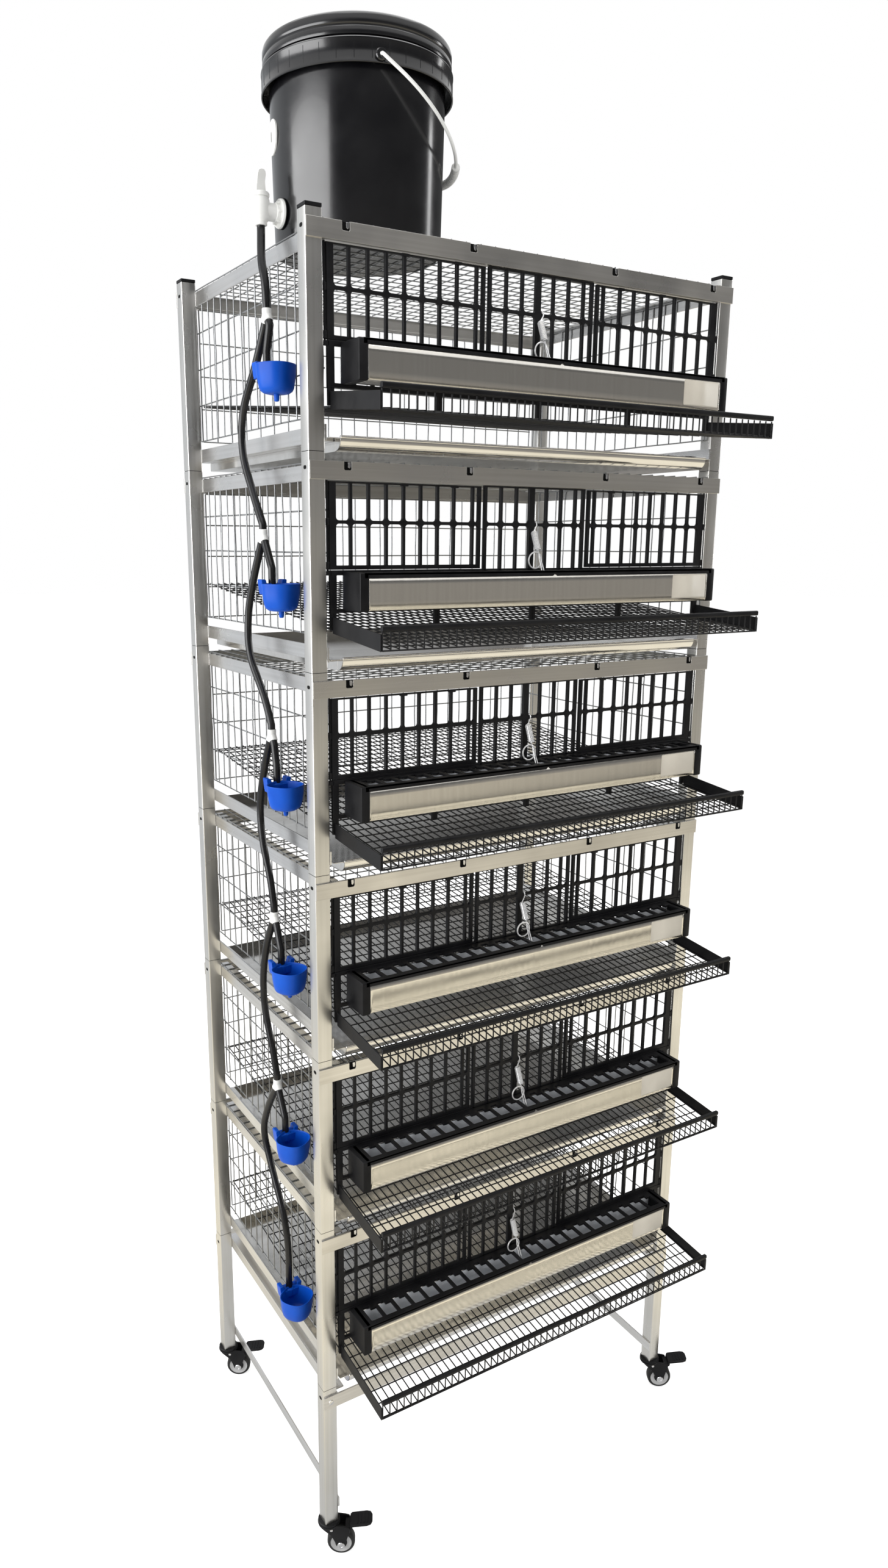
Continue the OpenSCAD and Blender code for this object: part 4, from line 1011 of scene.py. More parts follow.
@dataclass
class Mesh:
    """Round wires of the roofs, walls and floors."""

    palette: Palette
    rng: random.Random
    roof_r: float = 1.0
    wall_r: float = 1.15
    floor_r: float = 1.1
    roof_sway: float = 0.35
    wall_sway: float = 0.5
    floor_sway: float = 0.3
    square: float = 25.4
    fine: float = 13.5
    upright: float = 28.4
    level: float = 60.0
    roof_in: Span = (2.0, 1.5)
    roof_z: Span = (1.1, -1.0)
    wall_low: float = 246.0
    wall_high: float = 6.3
    back_high: float = 26.3
    wall_x: Span = (370.3, 368.2)
    wall_half: float = 245.5
    back_y: Span = (251.0, 249.0)
    back_half: float = 364.0
    end_in: float = 1.0
    lip_out: float = 1.9
    lip_z: Span = (0.5, 26.5)

    def build(self) -> list[Object]:
        """Makes all wire panels.

        Returns:
            The roofs, the walls and the floors.
        """
        roof, wall, floor = [], [], []
        for tier in TIERS:
            t = S.top(tier)
            roof += self._roof(t)
            wall += self._walls(t)
            floor += self._floor(t)
        zinc = self.palette.get(Finish.WIRE)
        return [wires("roof_wires", roof, self.roof_r, zinc, Slot.WIRE, "roof_mesh"),
                wires("wall_wires", wall, self.wall_r, zinc, Slot.WIRE, "wall_mesh"),
                wires("floor_wires", floor, self.floor_r, self.palette.get(Finish.COATED), Slot.COATED,
                      "floor_mesh")]

    def _sway(self, a: Point, b: Point, amount: float, cuts: int = 7) -> list[Vector]:
        """A line whose inner points wander a little.

        Args:
            a: Its start.
            b: Its end.
            amount: How far a point may wander along each axis.
            cuts: Stretches between its points.

        Returns:
            The line's points.
        """
        start, end = Vector(a), Vector(b)
        points = [start]
        for i in range(1, cuts):
            wander = Vector([self.rng.uniform(-amount, amount) for _ in range(3)])
            points.append(start.lerp(end, i / cuts) + wander)
        return points + [end]

    def _roof(self, t: float) -> list[list[Vector]]:
        """Lines of one roof.

        Args:
            t: Height of the tier's rail top.

        Returns:
            The lines.
        """
        x0, y0 = S.in_x - self.roof_in[0], S.half_d - self.roof_in[1]
        high, low = (t + z for z in self.roof_z)
        sway = self.roof_sway
        lines = [self._sway((x, -y0, high), (x, y0, high), sway) for x in places(-x0, x0, self.square)]
        return lines + [self._sway((-x0, y, low), (x0, y, low), sway) for y in places(-y0, y0, self.square)]

    def _walls(self, t: float) -> list[list[Vector]]:
        """Lines of one tier's side walls and back wall.

        Args:
            t: Height of the tier's rail top.

        Returns:
            The lines.
        """
        lines = []
        lo, hi, y0, sway = t - self.wall_low, t - self.wall_high, self.wall_half, self.wall_sway
        for sx in Side:
            outer, inner = (sx * x for x in self.wall_x)
            lines += [self._sway((outer, y, lo), (outer, y, hi), sway) for y in places(-y0, y0, self.upright)]
            lines += [self._sway((inner, -y0, z), (inner, y0, z), sway) for z in places(lo, hi, self.level)]
        hi, x0 = t - self.back_high, self.back_half
        outer, inner = self.back_y
        lines += [self._sway((x, outer, lo), (x, outer, hi), sway) for x in places(-x0, x0, self.upright)]
        lines += [self._sway((-x0, inner, z), (x0, inner, z), sway) for z in places(lo, hi, self.level)]
        return lines

    def _floor(self, t: float) -> list[list[Point]]:
        """Lines of one sloped floor and of its upright lip.

        Args:
            t: Height of the tier's rail top.

        Returns:
            The lines.
        """
        c, s = math.cos(S.fall), math.sin(S.fall)
        long = (S.floor_back - S.lip_y) / c
        low = t - S.lip_drop

        def on_floor(x: float, d: float, h: float) -> Spot:
            """The point at x that lies d up the slope and h above it."""
            return x, S.lip_y + d * c - h * s, low + d * s + h * c

        r, lift, sway = self.floor_r, S.floor_lift, self.floor_sway
        half, start, end = S.floor_half - r, self.end_in, long - self.end_in
        lines = [self._sway(on_floor(x, start, lift), on_floor(x, end, lift), sway)
                 for x in places(-half, half, self.fine)]
        lines += [self._sway(on_floor(-half, d, r), on_floor(half, d, r), sway)
                  for d in places(start, end, self.square)]
        y = S.lip_y - self.lip_out
        foot, head = (low + z for z in self.lip_z)
        lines += [[(x, y, foot), (x, y, head)] for x in places(-half, half, self.fine)]
        return lines + [[(-half, y, low + r), (half, y, low + r)]]


@dataclass
class Front:
    """Egg tray edging, grilles and doors."""

    palette: Palette
    cheek_t: float = 2.0
    cheek_h: float = 24.0
    cheek_front: float = 2.9
    cheek_out: float = 1.3
    strip: Box = (-5.3, 27.1, 1.6, 35.1)
    strip_round: float = 2.2
    strip_edge: float = 0.8
    bar_pitch: float = 29.6
    soft: float = 1.0
    cell_round: float = 0.9
    joint_round: float = 4.5
    level_half: float = 2.4
    bar_half: float = 2.4
    sill_half: float = 2.6
    edge_half: float = 3.0
    edge_in: float = 8.0
    middle_half: float = 100.0
    middle_x: float = -8.0
    middle_bar: float = 5.5
    middle_last: float = 97.0
    middle_bars: range = range(-3, 4)
    sill_bars: range = range(-11, 12)
    panel: Span = (-158.0, -25.4)
    panel_cells: Span = (-152.0, -28.0)
    sill: Span = (-212.0, -150.7)
    sill_cells: Span = (-206.0, -158.0)
    leg_gap: float = 2.5
    leg_half: float = 2.2
    leg_t: float = 2.4
    leg_in: float = 5.5
    leg_y: float = -250.0
    leg_foot: float = 1.4
    leg_top: float = 211.0
    pin_r: float = 1.6
    pin_z: Span = (-155.0, -25.4)
    pin_lug: Span = (-158.0, -152.0)
    lug_lap: float = 2.0
    lug_out: float = 2.8
    door_z: Span = (-150.0, -27.0)
    door_cells: Span = (-144.0, -29.4)
    door_bars: int = 7
    door_edge: Span = (3.0, 2.8)
    door_second: float = 15.0
    knuckle: Outline = ((1.7, -5), (2.9, -5), (3.2, -4.6), (3.2, 4.6), (2.9, 5), (1.7, 5), (1.7, -5))
    knuckle_low: float = -144.0
    knuckle_half: float = 5.0
    arm_lap: float = 3.0
    arm_gap: float = 2.2
    arm_half: float = 2.0
    stops: tuple[int, int] = (3, 6)
    stop_half: float = 6.5
    stop_z: Span = (-31.0, -27.0)
    stop_t: float = 4.6
    stop_out: float = 2.6
    stop_edge: Span = (1.2, 0.8)

    def build(self) -> list[Object]:
        """Makes the front pieces of all tiers.

        Returns:
            The doors, the edging and the fixed grilles.
        """
        made = []
        edging, fixed = Piece(self.palette, Finish.BLACK), Piece(self.palette, Finish.BLACK)
        for tier in TIERS:
            self._edging(edging, S.top(tier))
            self._fixed(fixed, S.top(tier))
            for side in Side:
                door = Piece(self.palette, Finish.BLACK)
                self._door(door, S.top(tier), side)
                label = side.name.lower()
                body = f"{label}_door_{tier}"
                made.append(door.place(f"{label}_grille_door_{tier}", body, Slot.BLACK, body))
        made.append(edging.place("egg_tray_edges", "cage", Slot.BLACK, "egg_tray_edging",
                                 edge=self.strip_edge))
        made.append(fixed.place("fixed_grilles", "cage", Slot.BLACK, "front_grilles"))
        return made

    def _edging(self, p: Piece, t: float) -> None:
        """Two cheek plates and the strip on the lip of one egg tray.

        Args:
            p: The piece that takes them.
            t: Height of the tier's rail top.
        """
        back = S.feeder_back - S.lip_y
        rise = back * math.tan(S.fall)
        low = t - S.lip_drop
        for sx in Side:
            x = sx * (S.floor_half + self.cheek_out) - self.cheek_t / 2
            p.prism([(-self.cheek_front, 0), (back, rise), (back, rise + self.cheek_h),
                     (-self.cheek_front, self.cheek_h)], self.cheek_t,
                    Matrix.Translation((x, S.lip_y, low)) @ SIDEWAYS)
        p.prism(rounded(*self.strip, self.strip_round), 2 * S.floor_half,
                Matrix.Translation((-S.floor_half, S.lip_y, low)) @ SIDEWAYS)

    def _cells(self, bars: Sequence[Span], low: float, high: float, foot: float,
               head: float) -> list[list[Span]]:
        """Cells between neighbouring bars.

        Args:
            bars: Middle and half width of each bar.
            low: Bottom of the cells.
            high: Top of the cells.
            foot: Corner radius at the bottom.
            head: Corner radius at the top.

        Returns:
            One outline for each cell.
        """
        outlines = []
        for (a, ha), (b, hb) in zip(bars, bars[1:]):
            lower = rounded(a + ha, low, b - hb, high, foot)
            upper = rounded(a + ha, low, b - hb, high, head)
            half = len(lower) // 4
            outlines.append(lower[:half] + upper[half:3 * half] + lower[3 * half:])
        return outlines

    def _two_rows(self, bars: Sequence[Span], low: float,
                  high: float) -> list[list[Span]]:
        """Cells below and above the level bar, with rounder corners beside it.

        Args:
            bars: Middle and half width of each bar.
            low: Bottom of the lower cells.
            high: Top of the upper cells.

        Returns:
            One outline for each cell.
        """
        under, over = S.level_bar - self.level_half, S.level_bar + self.level_half
        return (self._cells(bars, low, under, self.cell_round, self.joint_round)
                + self._cells(bars, over, high, self.joint_round, self.cell_round))

    def _fixed(self, p: Piece, t: float) -> None:
        """One tier's middle panel, the sill behind its feeder, its feet and its hinge pins.

        Args:
            p: The piece that takes them.
            t: Height of the tier's rail top.
        """
        place = Matrix.Translation((0, S.grille_y, t)) @ UPRIGHT
        outer = S.door_outer
        bars = [(self.middle_x + self.bar_pitch * i, self.bar_half if i else self.middle_bar)
                for i in self.middle_bars] + [(self.middle_last, self.sill_half)]
        p.plate(oblong(-self.middle_half, self.panel[0], self.middle_half, self.panel[1]),
                self._two_rows(bars, *self.panel_cells), S.grille_t, self.soft, place)
        last = outer - self.edge_in
        bars = [(-last, self.edge_half), *((self.bar_pitch * i, self.sill_half) for i in self.sill_bars),
                (last, self.edge_half)]
        cells = self._cells(bars, *self.sill_cells, self.cell_round, self.cell_round)
        p.plate(oblong(-outer, self.sill[0], outer, self.sill[1]), cells, S.grille_t, self.soft, place)
        foot = t + S.floor_z(self.leg_y) + self.leg_foot
        for x in (self.leg_in - outer, -outer / 2, 0, outer / 2, outer - self.leg_in):
            for s in (-self.leg_gap, self.leg_gap):
                p.bar((x + s - self.leg_half, S.grille_y - self.leg_t, foot),
                      (x + s + self.leg_half, S.grille_y + self.leg_t, t - self.leg_top))
        half = S.grille_t / 2
        for sx in Side:
            low, high = ((sx * S.pin_x, S.grille_y, t + z) for z in self.pin_z)
            p.rod(low, high, self.pin_r, steps=12)
            p.bar((sx * (outer - self.lug_lap), S.grille_y - half, t + self.pin_lug[0]),
                  (sx * (S.pin_x + self.lug_out), S.grille_y + half, t + self.pin_lug[1]))

    def _door(self, p: Piece, t: float, side: Side) -> None:
        """One grille door with its hinge knuckles and stops.

        Args:
            p: The piece that takes them.
            t: Height of the tier's rail top.
            side: The side that the door is hinged on.
        """
        flip = Matrix.Diagonal((side, 1, 1, 1))
        inner, outer = S.door_inner, S.door_outer
        first = outer - self.leg_in
        inside = [(first - self.bar_pitch * (i + 1), self.bar_half) for i in reversed(range(self.door_bars))]
        bars = [(inner + self.door_edge[0], self.door_edge[1]), (inner + self.door_second, self.bar_half),
                *inside, (outer - self.edge_in, self.edge_half)]
        p.plate(oblong(inner, self.door_z[0], outer, self.door_z[1]), self._two_rows(bars, *self.door_cells),
                S.grille_t, self.soft, flip @ Matrix.Translation((0, S.grille_y, t)) @ UPRIGHT)
        for z in (t + S.level_bar, t + self.knuckle_low):
            p.lathe(self.knuckle, Matrix.Translation((side * S.pin_x, S.grille_y, z)), steps=20)
            p.bar((side * (outer - self.arm_lap), S.grille_y - self.arm_half, z - self.knuckle_half),
                  (side * (S.pin_x - self.arm_gap), S.grille_y + self.arm_half, z + self.knuckle_half))
        (corner, edge), (low, high) = self.stop_edge, self.stop_z
        place = flip @ Matrix.Translation((0, S.grille_y - self.stop_out, t)) @ UPRIGHT
        for i in self.stops:
            x = first - self.bar_pitch * (i + 1)
            outline = rounded(x - self.stop_half, low, x + self.stop_half, high, corner)
            p.plate(outline, [], self.stop_t, edge, place)


@dataclass
class Feeders:
    """Troughs, slotted tops, springs and pull rings."""

    palette: Palette
    half: float = 333.6
    sheet_t: float = 1.0
    front_in: float = 0.3
    back_in: float = 7.0
    bottom: float = -206.0
    back_rise: float = 46.0
    front_fold: Outline = ((0, 2), (0.6, 0.6), (2, 0))
    back_fold: float = 4.0
    fascia_z: tuple[float, ...] = (-157.2, -170.0, -182.0, -194.0)
    ripples: int = 168
    ripple: float = 0.16
    ripple_keep: float = 0.55
    ripple_seed: int = 40
    plate_box: Box = (252.0, -201.0, 328.0, -163.0)
    plate_round: float = 1.5
    plate_t: float = 0.5
    plate_edge: float = 0.1
    lining_t: float = 0.3
    lining_gap: float = 0.2
    lining_front: float = 1.6
    lining_wall: float = 1.7
    top_z: float = -153.0
    top_t: float = 4.0
    top_edge: float = 0.7
    top_half: float = 341.0
    lap: float = 1.2
    slot_count: int = 23
    slot_pitch: float = 28.8
    slot_half: float = 11.2
    slot_bevel: float = 1.0
    slot_front: float = 9.0
    slot_back: float = 10.0
    slot_step: float = 18.0
    slot_step_x: float = 1.2
    apron_h: float = 8.0
    apron_gap: float = 0.5
    apron_mark: float = 4.0
    apron_t: float = 1.2
    apron_edge: float = 0.3
    cap_x: float = 341.0
    cap_w: float = 14.0
    cap_h: float = 55.0
    cap_round: float = 2.5
    cap_edge: float = 1.2
    hook_x: Span = (337.0, 345.0)
    hook_y: Span = (-1.0, 6.0)
    hook_z: Span = (-52.9, -44.9)
    spring_wire: float = 0.85
    spring_hook_x: float = -0.6
    spring_hook_r: float = 5.9
    spring_hook_turn: tuple[int, int, int] = (-50, 200, 20)
    spring_bend: Spot = (-4.2, -7.2, -89.0)
    spring_head: Spot = (-8.4, -9.2, -93.0)
    spring_foot: Spot = (-7.6, -20.6, -123.0)
    spring_tip: Spot = (-7.4, -38.0, -161.0)
    curls: int = 17
    curl_steps: int = 14
    curl_r: float = 4.5
    curl_end_share: float = 0.05
    eye_drop: float = 4.5
    loop_half: Spot = (1.5, 2.3, 1.2)
    loop_down: Spot = (9.0, 3.0, 2.4)
    ring_r: float = 12.6
    ring_wire: float = 1.2
    ring_hang: Spot = (-6.4, 0.0, -10.8)

    def build(self) -> list[Object]:
        """Makes the feeders of all tiers.

        Returns:
            The troughs, their linings, their tops and the springs.
        """
        made = []
        springs = Piece(self.palette, Finish.SPRING)
        for tier in TIERS:
            t = S.top(tier)
            made += [self._trough(tier, t), self._lining(tier, t), self._top(tier, t)]
            self._spring(springs, t)
        made.append(springs.place("feeder_spring_wires", "cage", Slot.SPRING, "feeder_springs"))
        return made

    @property
    def front(self) -> float:
        """Depth of the fascia's sheet."""
        return S.feeder_front + self.front_in

    @property
    def back(self) -> float:
        """Depth of the trough's back wall."""
        return S.feeder_back - self.back_in

    def _trough(self, tier: int, t: float) -> Object:
        """Folded sheet with soft upright ripples in its front, and a bare plate at its right end.

        Args:
            tier: The tier.
            t: Height of its rail top.

        Returns:
            The fascia and trough.
        """
        p = Piece(self.palette, Finish.FASCIA, Finish.PLATE)
        front, back, bottom = self.front, self.back, self.bottom
        path = [*((front, z) for z in self.fascia_z), *((front + y, bottom + z) for y, z in self.front_fold),
                (back - self.back_fold, bottom), (back, bottom + self.back_fold),
                (back, bottom + self.back_rise)]
        rng = random.Random(self.ripple_seed + tier)
        depth = [0.0]
        for _ in range(self.ripples):
            depth.append(self.ripple_keep * depth[-1] + rng.uniform(-self.ripple, self.ripple))
        rippled = range(1, len(self.fascia_z))
        columns = []
        for i, dent in enumerate(depth):
            x = -self.half + 2 * self.half * i / self.ripples
            columns.append([p.bm.verts.new((x, y + (abs(dent) if j in rippled else 0), t + z))
                            for j, (y, z) in enumerate(path)])
        for a, b in zip(columns, columns[1:]):
            for j in range(len(path) - 1):
                p.bm.faces.new((a[j], b[j], b[j + 1], a[j + 1]))
        p.paint = Finish.PLATE
        p.plate(rounded(*self.plate_box, self.plate_round), [], self.plate_t, self.plate_edge,
                Matrix.Translation((0, front - self.plate_edge, t)) @ UPRIGHT)
        obj = p.place(f"feeder_fascia_{tier}", f"feeder_{tier}", Slot.SHEET, f"feeder_trough_{tier}")
        thick = obj.modifiers.new("sheet", "SOLIDIFY")
        thick.thickness, thick.offset = self.sheet_t * MM, 1.0
        return obj

    def _lining(self, tier: int, t: float) -> Object:
        """Inner faces of a trough's bottom and back, pale and matte as painted light for the light that falls
        through the slots.

        Args:
            tier: The tier.
            t: Height of its rail top.

        Returns:
            The lining.
        """
        p = Piece(self.palette, Finish.LINING)
        low, thick = t + self.bottom, self.lining_t
        floor, wall = low + self.sheet_t + self.lining_gap, self.back - self.lining_wall
        p.bar((-self.half, self.front + self.lining_front, floor),
              (self.half, self.back - self.back_fold, floor + thick))
        p.bar((-self.half, wall, low + self.back_fold), (self.half, wall + thick, low + self.back_rise))
        return p.place(f"trough_lining_{tier}", f"feeder_{tier}", Slot.SHEET)

    def _top(self, tier: int, t: float) -> Object:
        """The slotted top with its apron, end caps and hooks.

        Args:
            tier: The tier.
            t: Height of its rail top.

        Returns:
            The top.
        """
        p = Piece(self.palette, Finish.BLACK)
        front, back = S.feeder_front - self.lap, S.feeder_back
        z, half = t + self.top_z, self.top_half
        p.plate(oblong(-half, front, half, back), [self._slot(i) for i in range(self.slot_count)], self.top_t,
                self.top_edge, Matrix.Translation((0, 0, z - self.top_t / 2)))
        low, high, mark = -self.apron_h, -self.apron_gap, self.apron_mark
        apron = ((-half, low), (-mark, low), (0, low + mark), (mark, low), (half, low), (half, high),
                 (-half, high))
        p.plate(apron, [], self.apron_t, self.apron_edge,
                Matrix.Translation((0, front + self.apron_t / 2, z)) @ UPRIGHT)
        for sx in Side:
            p.plate(rounded(front, -self.cap_h, back, 0, self.cap_round), [], self.cap_w, self.cap_edge,
                    Matrix.Translation((sx * self.cap_x, 0, z)) @ SIDEWAYS)
            p.bar((sx * self.hook_x[0], back + self.hook_y[0], z + self.hook_z[0]),
                  (sx * self.hook_x[1], back + self.hook_y[1], z + self.hook_z[1]))
        return p.place(f"feeder_slots_{tier}", f"feeder_{tier}", Slot.BLACK, f"feeder_top_{tier}")

    def _slot(self, i: int) -> Outline:
        """Outline of the i-th feed slot, which is narrower at its back.

        Args:
            i: Number of the slot, from the left.

        Returns:
            The slot's points.
        """
        x = (i - (self.slot_count - 1) / 2) * self.slot_pitch
        a, b = S.feeder_front + self.slot_front, S.feeder_back - self.slot_back
        step, right = S.feeder_back - self.slot_step, x + self.slot_step_x
        out, bevel = self.slot_half, self.slot_bevel
        return ((x - out, a + bevel), (x - out + bevel, a), (x + out - bevel, a), (x + out, a + bevel),
                (x + out, step), (right, step), (right, b), (x - out + bevel, b), (x - out, b - bevel))

    def _spring(self, p: Piece, t: float) -> None:
        """One wire: a hook over the level bar, close curls and a long loop down the slot; then the ring.

        Args:
            p: The piece that takes the wires.
            t: Height of the tier's rail top.
        """
        origin = Vector((0, S.grille_y, t))
        bend, head = origin + Vector(self.spring_bend), origin + Vector(self.spring_head)
        foot, tip = origin + Vector(self.spring_foot), origin + Vector(self.spring_tip)
        bar = origin + Vector((self.spring_hook_x, 0, S.level_bar))
        way = (foot - head).normalized()
        side = way.cross(RIGHT_WAY)
        path = [bar + self.spring_hook_r * Vector((0, math.cos(math.radians(a)), math.sin(math.radians(a))))
                for a in range(*self.spring_hook_turn)]
        path.append(bend)
        count = self.curls * self.curl_steps
        for i in range(count + 1):
            f = i / count
            r = self.curl_r * min(1, f / self.curl_end_share, (1 - f) / self.curl_end_share)
            a = 2 * math.pi * i / self.curl_steps
            path.append(head.lerp(foot, f) + r * (RIGHT_WAY * math.cos(a) + side * math.sin(a)))
        eye = foot + way * self.eye_drop
        down = (tip - eye).normalized()
        upper, lower, end = (RIGHT_WAY * half for half in self.loop_half)
        first, last, knot = self.loop_down
        path += [eye, eye + down * first + upper, tip - down * last + lower, tip + end, tip - end,
                 tip - down * last - lower, eye + down * first - upper, eye + down * knot]
        p.tube(path, self.spring_wire, sides=8)
        p.tube(circle(eye + Vector(self.ring_hang), self.ring_r, count=48), self.ring_wire, sides=10)


@dataclass
class Trays:
    """Folded droppings trays with a curved front under a rolled rim."""

    palette: Palette
    drop: float = 278.65
    front: float = -263.5
    back: float = 243.5
    wing: float = 370.6
    pan: float = 354.6
    deep: float = 18.0
    sheet: float = 1.2
    curve_r: float = 17.0
    curve_y: float = 13.5
    curve_z: float = -1.0
    curve_turn: tuple[int, int, int] = (180, 271, 9)
    rim_r: float = 2.4
    rim_edge: Span = (0.8, 1.0)
    rim_out: float = 2.2
    rim_rise: float = 0.6
    wing_lap: float = 1.0
    wing_front: Span = (1.0, 14.0)
    lap: float = 0.1
    fold: float = 0.4

    def build(self) -> list[Object]:
        """Makes the trays of all tiers and returns them."""
        return [self._tray(tier) for tier in TIERS]

    def _tray(self, tier: int) -> Object:
        """One tray: winged pan, back wall, curved front and rolled rim.

        Args:
            tier: The tier.

        Returns:
            The tray.
        """
        p = Piece(self.palette, Finish.TRAY)
        z, pan, wing, sheet, deep = S.top(tier) - self.drop, self.pan, self.wing, self.sheet, self.deep
        half = [(pan, -deep), (pan, -sheet), (wing, -sheet), (wing, 0), (pan - sheet, 0),
                (pan - sheet, sheet - deep)]
        p.prism(half + [(-x, y) for x, y in reversed(half)], self.back - self.front - self.curve_y + self.lap,
                Matrix.Translation((0, self.back, z)) @ UPRIGHT)
        p.bar((-pan, self.back - sheet, z - deep), (pan, self.back, z))
        centre = self.front + self.curve_y
        turns = [math.radians(a) for a in range(*self.curve_turn)]
        arc = [(math.cos(a), math.sin(a)) for a in turns]
        outer, inner = [[(centre + r * c, self.curve_z + r * s) for c, s in arc]
                        for r in (self.curve_r, self.curve_r - sheet)]
        p.prism(outer + inner[::-1], 2 * pan, Matrix.Translation((-pan, 0, z)) @ SIDEWAYS)
        for sx in Side:
            x = sx * (pan - sheet / 2) - sheet / 2
            p.prism([*outer, (centre, self.curve_z)], sheet, Matrix.Translation((x, 0, z)) @ SIDEWAYS)
            p.bar((sx * (pan - self.wing_lap), self.front + self.wing_front[0], z - sheet),
                  (sx * wing, self.front + self.wing_front[1], z))
        roll, (inset, edge) = 2 * pan, self.rim_edge
        r = self.rim_r
        p.lathe([(0, 0), (r - inset, 0), (r, edge), (r, roll - edge), (r - inset, roll), (0, roll)],
                Matrix.Translation((-pan, self.front - self.rim_out, z + self.rim_rise)) @ LYING, steps=20)
        body = f"droppings_tray_{tier}"
        return p.place(f"tray_pan_{tier}", body, Slot.TRAY, body, edge=self.fold)


@dataclass
class Hose:
    """The water hose: six hanging stretches and the short drops into the cups."""

    palette: Palette
    first: tuple[Spot, ...] = ((-400, -111.5, -25), (-400, -121.5, -55))
    loops: tuple[tuple[Spot, ...], ...] = (
        ((-402, -83.5, -165), (-403, -33.5, -225), (-403, -27.5, -285), (-401, -57.5, -345)),
        ((-402, -51.5, -172), (-403, -29.5, -230), (-403, -33.5, -290), (-401, -79.5, -350)),
        ((-402, -73.5, -168), (-403, -57.5, -230), (-403, -65.5, -290), (-401, -85.5, -345)),
        ((-402, -63.5, -168), (-403, -49.5, -230), (-403, -55.5, -290), (-401, -75.5, -345)),
        ((-402, -49.5, -170), (-403, -33.5, -222), (-402, -61.5, -280), (-402, -107.5, -345),
         (-402, -125.5, -405)))
    sunk: float = 19.0
    sunk_shares: tuple[float, ...] = (0.0, 0.3, 0.7, 1.0)

    def build(self) -> list[Object]:
        """Returns:
            The stretches and the drops.
        """
        top = S.top(1)
        straight = Vector((0, 0, -W.hose_r))
        sunk, down = Vector((0, 0, -self.sunk)), Vector((0, 0, -S.pitch))
        neck = Vector((W.cup_x, W.cup_y + W.neck_back, -W.cup_drop + W.neck_top + W.seat))
        outlet = Vector((W.pail_x - W.wall_r - W.reach, W.pail_y,
                         W.foot + W.valve_z - W.barrel_foot - W.seat - top))
        made = [self._stretch(0, top, [outlet, outlet + straight, *map(Vector, self.first), *self._inlet(1)],
                              "water_hose")]
        drops = []
        for k in TEES:
            t = S.top(k)
            front, back = ([W.tee(k) + W.leg_way(s) * (W.tee_leg + W.seat + d) for d in (0, W.hose_r)]
                           for s in Face)
            last = self._inlet(k + 1) if k < TEES[-1] else [neck - straight, neck]
            route = [*back, *map(Vector, self.loops[k - 1]), *(q + down for q in last)]
            made.append(self._stretch(k, t, route))
            drops.append(self._raised((*front, neck - straight, neck + sunk), t))
        inside = [neck + down + sunk * share for share in self.sunk_shares]
        drops.append(self._raised(inside, S.top(TEES[-1])))
        made.append(wires("hose_drops", [self._smooth(d, n=6) for d in drops], W.hose_r,
                          self.palette.get(Finish.HOSE), Slot.HOSE))
        return made

    def _stretch(self, k: int, t: float, route: Sequence[Vector], *nodes: str) -> Object:
        """Args:
            k: Number of the stretch, from the valve.
            t: Height of the rail top that its route hangs from.
            route: Points of its route below that height.
            *nodes: CAD nodes that it stands for.

        Returns:
            The stretch.
        """
        line = self._smooth(self._raised(route, t))
        obj = wires(f"hose_{k}", [line], W.hose_r, self.palette.get(Finish.HOSE), Slot.HOSE, *nodes)
        length = sum((b - a).length for a, b in zip(line, line[1:])) * MM
        LOG.info("hose_%d is %.3f m long", k, length)
        return obj

    @staticmethod
    def _inlet(k: int) -> list[Vector]:
        """The last two points above a tee's inlet."""
        end = W.tee(k) + Vector((0, 0, W.tee_head + W.seat))
        return [end + Vector((0, 0, W.hose_r)), end]

    @staticmethod
    def _raised(route: Iterable[Vector], t: float) -> list[Vector]:
        """A route moved up by t."""
        return [q + Vector((0, 0, t)) for q in route]

    @staticmethod
    def _smooth(path: Sequence[Vector], n: int = 8) -> list[Vector]:
        """A smooth line with straight ends through the inner points.

        Args:
            path: The points that it passes.
            n: Steps between two of them.

        Returns:
            Points along the line.
        """
        inner = path[1:-1]
        points = [path[0]]
        for i in range(len(inner) - 1):
            a, b = inner[max(i - 1, 0)], inner[i]
            c, d = inner[i + 1], inner[min(i + 2, len(inner) - 1)]
            for j in range(n):
                u = j / n
                points.append((b * 2 + (c - a) * u + (a * 2 - b * 5 + c * 4 - d) * u * u
                               + (b * 3 - a - c * 3 + d) * u ** 3) / 2)
        return points + [inner[-1], path[-1]]


